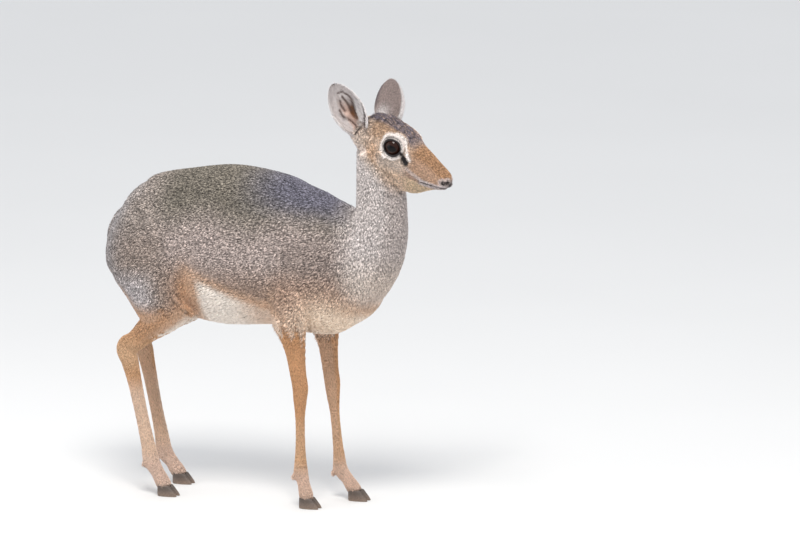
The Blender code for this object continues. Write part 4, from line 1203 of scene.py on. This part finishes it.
def unwrapped(points, owner):
    """The skin opened out, part by part: the turn round its middle line, and the place along it."""
    x, y, z = points.T
    h = to_head(points)
    name = np.array(PARTS)[owner]
    radius = np.hypot(y, z - 0.30)
    behind = np.clip(0.09 - radius, 0, 1) * ease(x, -0.10, -0.16)
    before = np.clip(0.08 - radius, 0, 1) * ease(x, 0.12, 0.16)
    flat = np.stack([np.arctan2(y, z - 0.30) * 0.08, x - behind + before], -1)
    some = name == "neck"
    flat[some] = np.stack([np.arctan2(y, x - 0.172)[some] * 0.04, z[some]], -1)
    some = name == "tail"
    flat[some] = np.stack([np.arctan2(y, x + 0.182)[some] * 0.01, z[some]], -1)
    some = name == "head"
    ahead = np.clip(0.02 - np.hypot(h[:, 1], h[:, 2] + 0.012), 0, 1) * ease(h[:, 0], 0.05, 0.07)
    turn = np.arctan2(h[:, 1], h[:, 2] + 0.012)
    flat[some] = np.stack([turn * 0.03, h[:, 0] + ahead], -1)[some]
    for joints, word in ((FORE_JOINTS, "fore_"), (HIND_JOINTS, "hind_")):
        for side in ("right", "left"):
            some = name == word + side
            path = np.array(joints[side])[::-1]
            middle = [np.interp(z[some], path[:, 2], path[:, axis]) for axis in (0, 1)]
            turn = np.arctan2(y[some] - middle[1], x[some] - middle[0])
            flat[some] = np.stack([turn * 0.012, z[some]], -1)
    for side in ("right", "left"):
        some = name == "ear_" + side
        across, share, towards = ear_local(h[some], side)
        flat[some] = np.stack([across * 0.02 + np.sign(towards) * 0.04, share * 0.08], -1)
    return flat


def coat_piece(name, root, normal, lie, coat, bend, owner, draw):
    """One piece of coat: its tufts as a single mesh, painted, with each tuft's patch in the map OFBake."""
    points = tufts(root, normal, lie, coat, bend, draw)
    count = len(points)
    faces = (np.arange(count)[:, None, None] * points.shape[1] + TUFT_FACES).reshape(-1, 3)
    piece = add_piece(name, points.reshape(-1, 3), faces)
    colour, grizzle, _ = markings(root, unit(normal), owner)
    # Half of the grizzled tufts are dark and half pale, and on the crown a fifth are tan
    tone = np.where(draw.random((count, 1)) < 0.5, -0.26, 0.26) * grizzle[:, None]
    tan = (draw.random((count, 1)) < 0.22) * ease(grizzle[:, None], 0.86, 0.98)
    colour = colour + 0.45 * tan * (linear(TEMPLE) - colour)
    colour = colour * (1 + tone + 0.07 * draw.normal(0, 1, (count, 1))).clip(0.45, 1.6)
    shade = draw.random(count)
    paint(
        piece.data,
        np.repeat(colour, 5, axis=0),
        np.repeat(grizzle, 5),
        along=np.tile(TUFT_ALONG, count),
        draw=np.repeat(shade, 5),
    )
    flat = unwrapped(root, owner)
    low, high = flat.min(0), flat.max(0)
    flat = BAKE_START + BAKE_REACH * (flat - low) / np.maximum(high - low, 1e-6)
    corners = flat[:, None] + (TUFT_PATCH - 0.5) * BAKE_PATCH
    corners = corners.reshape(-1, 2)[faces.ravel()]
    unwrap = piece.data.uv_layers.new(name="OFBake")
    unwrap.data.foreach_set("uv", corners.astype(np.float32).ravel())
    return piece


def ear_hairs(side, draw):
    """Long pale hairs rooted along the ear's leading edge that lean over its opening, as root arrays."""
    count = EAR_HAIRS
    leading = -1 if side == "right" else 1
    share = draw.uniform(0.02, 0.62, count)
    turn = leading * draw.uniform(0.42, 0.95, count)
    rows = through(EAR_PROFILE, 9)
    wide, reach = [np.interp(share, rows[:, 0], rows[:, column]) for column in (1, 2)]
    across, facing, axis = ear_turn(side).T
    angle = reach * turn
    root = np.array(EAR_ROOT[side]) + (share * EAR_LENGTH[side])[:, None] * axis
    root = root + (wide * np.sin(angle))[:, None] * across
    root = root - (EAR_CUP * wide * np.cos(angle))[:, None] * facing
    normal = -np.sin(angle)[:, None] * across + np.cos(angle)[:, None] * facing / EAR_CUP
    lie = axis - 0.55 * leading * across + 0.45 * facing
    coat = np.tile(EAR_HAIR, (count, 1))
    lie = np.tile(lie, (count, 1)) @ HEAD[:3, :3].T
    return from_head(root), normal @ HEAD[:3, :3].T, lie, coat, np.zeros(count)


def eye_ball(sign):
    """The eye: circles round its own axis at radius R(1 + 0.03·exp(-(θ / 0.5)²)).

    θ is the angle from the pupil. The colours go by the place across and up the front: a level oval
    pupil in a dark brown iris.
    """
    polar = np.linspace(0.02, np.pi - 0.02, 60)[:, None]
    turn = np.linspace(0, 2 * np.pi, 96, endpoint=False)
    radius = (EYE_RADIUS - EYE_GAP) * (1 + 0.03 * np.exp(-((polar / 0.5) ** 2)))
    flat = np.stack([
        radius * np.sin(polar) * np.cos(turn),
        radius * np.cos(polar) * np.ones_like(turn),
        radius * np.sin(polar) * np.sin(turn),
    ], -1)
    points, faces = closed_tube(flat)
    x, y, z = points.T
    ring = np.hypot(x, z)
    colour = np.tile(linear(IRIS_BROWN), (len(points), 1))
    colour = mixed(colour, PUPIL_BLACK, ease(np.hypot(x / 0.0056, z / 0.0036), 1.15, 0.95))
    colour = mixed(colour, PUPIL_BLACK, np.maximum(ease(ring, 0.0085, 0.0098), y < 0))
    return from_head(points @ eye_aim(sign).T + eye_place(sign)), faces, colour


def claw(foot, sign):
    """A claw of a cloven foot: pointed ovals, set back and smaller from the ground up.

    x = setback + half_length·cos(a), y = half_width·sin(a)·(1 - taper·cos(a)), with the sole's edge
    rounded in over the first half millimetre.
    """
    rows = through(CLAW_PROFILE, 7)
    turns = np.linspace(0, 2 * np.pi, 48, endpoint=False)
    height, half_length, half_width, setback = [column[:, None] for column in rows.T]
    height = np.maximum(height, 0)
    round_in = 1 - 0.08 * (1 - np.clip(height / 0.0006, 0, 1)) ** 2
    x = foot[0] + CLAW_FORWARD + setback + half_length * round_in * np.cos(turns)
    y = sign * CLAW_SPREAD + half_width * round_in * np.sin(turns) * (1 - CLAW_TAPER * np.cos(turns))
    return closed_tube(np.stack([x, foot[1] + y, height * np.ones_like(turns)], -1))


def add(tree, kind, settings=None, links=None):
    """Adds a shader node of one kind, with options and socket values by name, and its inputs linked."""
    made = tree.nodes.new("ShaderNode" + kind)
    for key, value in (settings or {}).items():
        if isinstance(key, str) and hasattr(made, key):
            setattr(made, key, value)
        else:
            made.inputs[key].default_value = value
    for key, source in (links or {}).items():
        tree.links.new(source, made.inputs[key])
    return made


def blank(name):
    """A material with an empty node tree, that tree, and places on the piece in its own metres."""
    made = bpy.data.materials.new(name)
    made.use_nodes = True
    made.node_tree.nodes.clear()
    return made, made.node_tree, add(made.node_tree, "TexCoord").outputs["Object"]


def ramp(tree, source, stops):
    """A grey ramp through places and values."""
    made = add(tree, "ValToRGB", links={"Fac": source})
    elements = made.color_ramp.elements
    while len(elements) < len(stops):
        elements.new(0.5)
    for element, (place, value) in zip(elements, stops):
        element.position = place
        element.color = (value, value, value, 1)
    return made.outputs["Color"]


def surfaced(tree, settings, links):
    """Ends a material with one principled surface: its values that are the same all over, and its links."""
    shader = add(tree, "BsdfPrincipled", settings, links)
    add(tree, "OutputMaterial", links={"Surface": shader.outputs[0]})


def hair_material(name, pale_band, roughness):
    """Animal hair, grown and lying in tufts: dark at the root, with a pale band and a dark tip.

    The bands show as fine speckling, as much as the alpha of the attribute tint asks for.
    """
    made, tree, place = blank(name)
    tint = add(tree, "Attribute", {"attribute_name": "tint"})
    along = add(tree, "Attribute", {"attribute_name": "along"}).outputs["Fac"]
    draw = add(tree, "Attribute", {"attribute_name": "draw"}).outputs["Fac"]
    shift = add(tree, "Math", {"operation": "MULTIPLY_ADD", 1: 0.24, 2: -0.12}, {0: draw})
    moved = add(tree, "Math", {"operation": "ADD"}, {0: along, 1: shift.outputs[0]}).outputs[0]
    stops = ((0.0, 0.40), (0.36, 0.62), (0.56, pale_band), (0.76, 0.86), (0.95, 0.52))
    band = ramp(tree, moved, stops)
    plain = ramp(tree, moved, ((0.0, 0.50), (0.40, 0.66), (0.80, 0.70)))
    # Ticking: flecks of 2 mm where dark tips lie over pale bands
    ticks = add(tree, "TexNoise", {"Scale": 1 / 0.0021, "Detail": 2.0}, {"Vector": place})
    ticked = ramp(tree, ticks.outputs["Fac"], ((0.42, 0.36), (0.50, 0.76), (0.58, 1.0)))
    banded = add(tree, "VectorMath", {"operation": "MULTIPLY"}, {0: band, 1: ticked}).outputs[0]
    shade = add(tree, "Mix", {"data_type": "RGBA"}, {0: tint.outputs["Alpha"], 6: plain, 7: banded})
    # Soft clouds of 14 mm, where hair of different age and wetness parts
    clouds = add(tree, "TexNoise", {"Scale": 1 / 0.014, "Detail": 3.0}, {"Vector": place})
    soft = add(tree, "Math", {"operation": "MULTIPLY_ADD", 1: 0.40, 2: 1.36}, {0: clouds.outputs["Fac"]})
    lit = add(tree, "VectorMath", {"operation": "SCALE"}, {0: shade.outputs[2], "Scale": soft.outputs[0]})
    tinted = {0: tint.outputs["Color"], 1: lit.outputs[0]}
    colour = add(tree, "VectorMath", {"operation": "MULTIPLY"}, tinted)
    # Single hairs 0.3 mm apart in each tuft
    fine = add(tree, "TexNoise", {"Scale": 1 / 0.0003, "Detail": 2.0}, {"Vector": place})
    bump = add(tree, "Bump", {"Strength": 0.35, "Distance": 0.0002}, {"Height": fine.outputs["Fac"]})
    gloss = {"Roughness": roughness, "IOR": 1.55, "Specular IOR Level": 0.25}
    surfaced(tree, gloss, {"Base Color": colour.outputs[0], "Normal": bump.outputs[0]})
    return made


def skin_material():
    """Skin of a short-haired animal: short underfur in the coat's colour, bare and finely grained at
    the nose, lids and inside of the ears."""
    made, tree, place = blank("underfur_and_bare_skin")
    tint = add(tree, "Attribute", {"attribute_name": "tint"})
    bare = add(tree, "Attribute", {"attribute_name": "bare"}).outputs["Fac"]
    # Underfur in flecks of 0.8 mm
    fur = add(tree, "TexNoise", {"Scale": 1 / 0.0008, "Detail": 4.0}, {"Vector": place})
    flecks = ramp(tree, fur.outputs["Fac"], ((0.30, 0.55), (0.70, 0.92)))
    # Bare skin in patches of 5 mm
    patches = add(tree, "TexNoise", {"Scale": 1 / 0.005, "Detail": 5.0}, {"Vector": place})
    naked = ramp(tree, patches.outputs["Fac"], ((0.30, 0.80), (0.70, 1.0)))
    shade = add(tree, "Mix", {"data_type": "RGBA"}, {0: bare, 6: flecks, 7: naked})
    tinted = {0: tint.outputs["Color"], 1: shade.outputs[2]}
    colour = add(tree, "VectorMath", {"operation": "MULTIPLY"}, tinted)
    # Grain of bare skin, 0.5 mm across
    grain = add(tree, "TexVoronoi", {"Scale": 1 / 0.0005}, {"Vector": place})
    heights = {0: bare, 2: fur.outputs["Fac"], 3: grain.outputs["Distance"]}
    rough = add(tree, "Mix", {"data_type": "FLOAT"}, heights)
    bump = add(tree, "Bump", {"Strength": 0.45, "Distance": 0.0003}, {"Height": rough.outputs[0]})
    gloss = add(tree, "MapRange", {"To Min": 0.75, "To Max": 0.45}, {"Value": bare})
    surfaced(tree, {"IOR": 1.45, "Specular IOR Level": 0.35}, {
        "Base Color": colour.outputs[0], "Roughness": gloss.outputs[0], "Normal": bump.outputs[0],
    })
    return made


def eye_material():
    """Wet cornea over a dark brown iris: clear, smooth and mirror-like."""
    made, tree, place = blank("wet_cornea")
    tint = add(tree, "Attribute", {"attribute_name": "tint"})
    # Threads of the iris, 0.4 mm apart
    threads = add(tree, "TexNoise", {"Scale": 1 / 0.0004}, {"Vector": place})
    soft = ramp(tree, threads.outputs["Fac"], ((0.3, 0.6), (0.7, 1.0)))
    colour = add(tree, "VectorMath", {"operation": "MULTIPLY"}, {0: tint.outputs["Color"], 1: soft})
    gloss = {"Roughness": 0.02, "IOR": 1.376, "Specular IOR Level": 0.28}
    surfaced(tree, gloss, {"Base Color": colour.outputs[0]})
    return made


def horn_material():
    """Hoof horn, grown downwards in thin layers and worn in walking: dark, dull, ringed, dusty low."""
    made, tree, place = blank("worn_hoof_horn")
    height = add(tree, "SeparateXYZ", links={0: place}).outputs["Z"]
    # Growth rings 1.6 mm apart: a wave's bands are 0.314 over its scale apart
    waves = {"bands_direction": "Z", "Scale": 0.314 / 0.0016, "Distortion": 2.0, "Detail": 2.0}
    rings = add(tree, "TexWave", waves, {"Vector": place})
    # Scuffs 2 mm across, and dust up to 9 mm from the floor
    scuffs = add(tree, "TexNoise", {"Scale": 1 / 0.002, "Detail": 6.0}, {"Vector": place}).outputs["Fac"]
    reach = {"From Min": 0.009, "From Max": 0.0, "To Min": 0.15, "To Max": 0.75}
    dust = add(tree, "MapRange", reach, {"Value": height})
    worn = add(tree, "Math", {"operation": "MULTIPLY"}, {0: dust.outputs[0], 1: scuffs})
    shades = {"data_type": "RGBA", 6: (*linear(HORN_DARK), 1), 7: (*linear(HORN_DUST), 1)}
    colour = add(tree, "Mix", shades, {0: worn.outputs[0]})
    relief = add(tree, "Math", {"operation": "ADD"}, {0: rings.outputs["Fac"], 1: scuffs})
    bump = add(tree, "Bump", {"Strength": 0.5, "Distance": 0.0002}, {"Height": relief.outputs[0]})
    gloss = {"Roughness": 0.48, "IOR": 1.55}
    surfaced(tree, gloss, {"Base Color": colour.outputs[2], "Normal": bump.outputs[0]})
    return made


def floor_material():
    """Matt pale board: plain, with the faintest clouding 0.6 m across."""
    made, tree, place = blank("matt_pale_floor")
    clouds = add(tree, "TexNoise", {"Scale": 1 / 0.6}, {"Vector": place})
    colour = ramp(tree, clouds.outputs["Fac"], ((0.0, 0.70), (1.0, 0.74)))
    surfaced(tree, {"Roughness": 0.85}, {"Base Color": colour})
    return made


def finished(piece, material, slot, *nodes):
    """Gives a piece its material, has it ride on the body and stand for CAD nodes. The record slot is not
    used.
    """
    piece.data.materials.clear()
    piece.data.materials.append(material)
    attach(piece, "root")
    if nodes:
        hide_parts(*nodes)
    return piece


def make_coat(skin, guides, hair, leg_hair, ear_hair):
    """Sows tufts over the skin and parts them into pieces by the region they grow on."""
    draw = np.random.default_rng(11)
    mesh = skin.data
    points = points_of(mesh)
    normals = normals_of(mesh)
    faces = triangles_of(mesh)
    field, owner = coat_at(points, guides)
    colour, grizzle, bare = markings(points, normals, owner)
    paint(mesh, colour, grizzle, bare=bare)
    h = to_head(points)
    folded = np.abs(h) * (0, 1, 0) + h * (1, 0, 1)
    oval, local = eye_distance(folded)
    # Near the lids the hair turns away from the eye and is shorter, finer and closer
    close = ease(oval, 2.3, 1.25) * (owner == PARTS.index("head"))
    mirror = np.ones_like(h)
    mirror[:, 1] = np.sign(h[:, 1])
    away = (local * (1, 0, 1)) @ eye_aim(1).T * mirror
    field[:, :3] += (unit(away) @ HEAD[:3, :3].T) * (1.8 * close)[:, None]
    field[:, 5] *= 1 - 0.60 * close
    field[:, 6] *= 1 - 0.30 * close
    chance = field[:, 7] * (1 - bare) * (1 + 0.8 * close)
    way = unit(field[:, :3] - normals * np.sum(field[:, :3] * normals, -1, keepdims=True))
    bend = bend_along(mesh, points, normals, way)
    (root, normal, values, bend), corner = sown(points, faces, (normals, field, bend), chance, draw)
    owner = owner[corner]
    name = np.array(PARTS)[owner]
    coat, lie = values[:, 3:8], values[:, :3]
    h = to_head(root)
    crest = (name == "head") & (coat[:, 2] > 0.0105) & (h[:, 2] > 0)
    trunk = name == "trunk"
    left = np.where(name == "head", h[:, 1], root[:, 1]) > 0
    regions = {"coat_crest": crest, "coat_tail": name == "tail"}
    for side, here in (("right", ~left), ("left", left)):
        regions["coat_shoulder_" + side] = trunk & here & (root[:, 0] > 0.045)
        regions["coat_flank_" + side] = trunk & here & (root[:, 0] <= 0.045) & (root[:, 0] > -0.055)
        regions["coat_rump_" + side] = trunk & here & (root[:, 0] <= -0.055)
        regions["coat_haunch_" + side] = (name == "thigh") & here
        regions["coat_neck_" + side] = (name == "neck") & here
        back = h[:, 0] < 0.0
        regions["coat_cheek_" + side] = (name == "head") & here & ~crest & back
        regions["coat_face_" + side] = (name == "head") & here & ~crest & ~back
        regions["coat_fore_leg_" + side] = name == "fore_" + side
        regions["coat_hind_leg_" + side] = name == "hind_" + side
        regions["coat_ear_" + side] = name == "ear_" + side
    for region, some in regions.items():
        material, slot = (hair, "coat")
        if "_leg_" in region:
            material, slot = (leg_hair, "leg_coat")
        if "_ear_" in region:
            material, slot = (ear_hair, "ear")
        rows = [column[some] for column in (root, normal, lie, coat, bend)]
        who = owner[some]
        if "_ear_" in region:
            side = region.rsplit("_", 1)[1]
            extra = ear_hairs(side, draw)
            rows = [np.concatenate(pair) for pair in zip(rows, extra)]
            who = np.concatenate([who, np.full(len(extra[0]), PARTS.index("ear_" + side))])
        if len(who):
            finished(coat_piece(region, *rows, who, draw), material, slot)


def add_camera():
    """Camera at the photograph's viewing angle, its picture level and as wide as the photograph is."""
    middle = PICTURE_RIGHT * AIM_RIGHT + PICTURE_UP * AIM_UP + TOWARDS_CAMERA * AIM_NEAR + Vector(PLACE)
    camera = bpy.data.cameras.new("camera")
    camera.sensor_width = SENSOR
    camera.lens = SENSOR * CAMERA_AWAY / PICTURE_WIDTH
    camera.clip_end = 80
    made = bpy.data.objects.new("camera", camera)
    bpy.context.scene.collection.objects.link(made)
    away = TOWARDS_CAMERA.normalized()
    turn = Matrix((PICTURE_RIGHT.normalized(), PICTURE_UP.normalized(), away)).transposed()
    made.matrix_world = Matrix.Translation(middle + away * CAMERA_AWAY) @ turn.to_4x4()
    bpy.context.scene.camera = made


def add_light(name, place, aim, size, power, colour):
    """A soft square lamp at a place, turned to what it lights."""
    lamp = bpy.data.lights.new(name, "AREA")
    lamp.size = size
    lamp.energy = power
    lamp.color = colour
    made = bpy.data.objects.new(name, lamp)
    bpy.context.scene.collection.objects.link(made)
    place = Vector(place)
    made.location = place
    made.rotation_euler = (Vector(aim) - place).to_track_quat("-Z", "Y").to_euler()


def add_studio():
    """Pale floor, pale surroundings and soft lamps."""
    half = 30.0
    grid = np.array([(-half, -half, 0), (half, -half, 0), (half, half, 0), (-half, half, 0)], float) - PLACE
    floor = add_piece("floor", grid, np.array([[0, 1, 2], [0, 2, 3]]), smooth=False)
    floor.data.materials.append(floor_material())
    world = bpy.data.worlds.new("studio")
    world.use_nodes = True
    tree = world.node_tree
    tree.nodes.clear()
    background = add(tree, "Background", {"Color": (0.95, 0.97, 1.0, 1), "Strength": 0.95})
    add(tree, "OutputWorld", links={"Surface": background.outputs[0]})
    bpy.context.scene.world = world
    bpy.context.scene.view_settings.view_transform = "Standard"
    add_light("key", (0.5, -1.4, 2.5), (0, 0, 0.25), 0.9, 58, (1.0, 0.97, 0.92))
    add_light("fill", (-1.8, -1.4, 0.9), (0, 0, 0.25), 1.6, 8, (0.94, 0.97, 1.0))


def make_animal():
    """Skin, coat, eyes and claws, each with its material and the nodes it stands for."""
    guides = coat_guides()
    skin = made_skin(guides)
    hair = hair_material("grizzled_body_hair", 0.98, 0.62)
    leg_hair = hair_material("short_leg_hair", 0.84, 0.58)
    ear_hair = hair_material("thin_ear_hair", 0.86, 0.60)
    make_coat(skin, guides, hair, leg_hair, ear_hair)
    flesh = ["head", "neck", "torso", "tail", "ear_right", "ear_left"]
    for end in ("fore_", "hind_"):
        for side in ("right", "left"):
            flesh += [end + side + "_leg", end + side + "_shank"]
    finished(skin, skin_material(), "coat", *flesh)
    cornea = eye_material()
    horn = horn_material()
    for side, sign in (("right", -1), ("left", 1)):
        points, faces, colour = eye_ball(sign)
        points, faces = outward(points, faces)
        eye = add_piece("eye_ball_" + side, points, faces)
        paint(eye.data, colour, np.zeros(len(points)))
        finished(eye, cornea, "eye", "eye_" + side)
        for end, joints in (("fore_", FORE_JOINTS), ("hind_", HIND_JOINTS)):
            for letter, way in (("a", -1), ("b", 1)):
                piece = add_piece(f"{end}{side}_claw_{letter}", *claw(joints[side][-1], way))
                finished(piece, horn, "hoof", f"{end}{side}_hoof_{letter}")


make_animal()
add_camera()
add_studio()
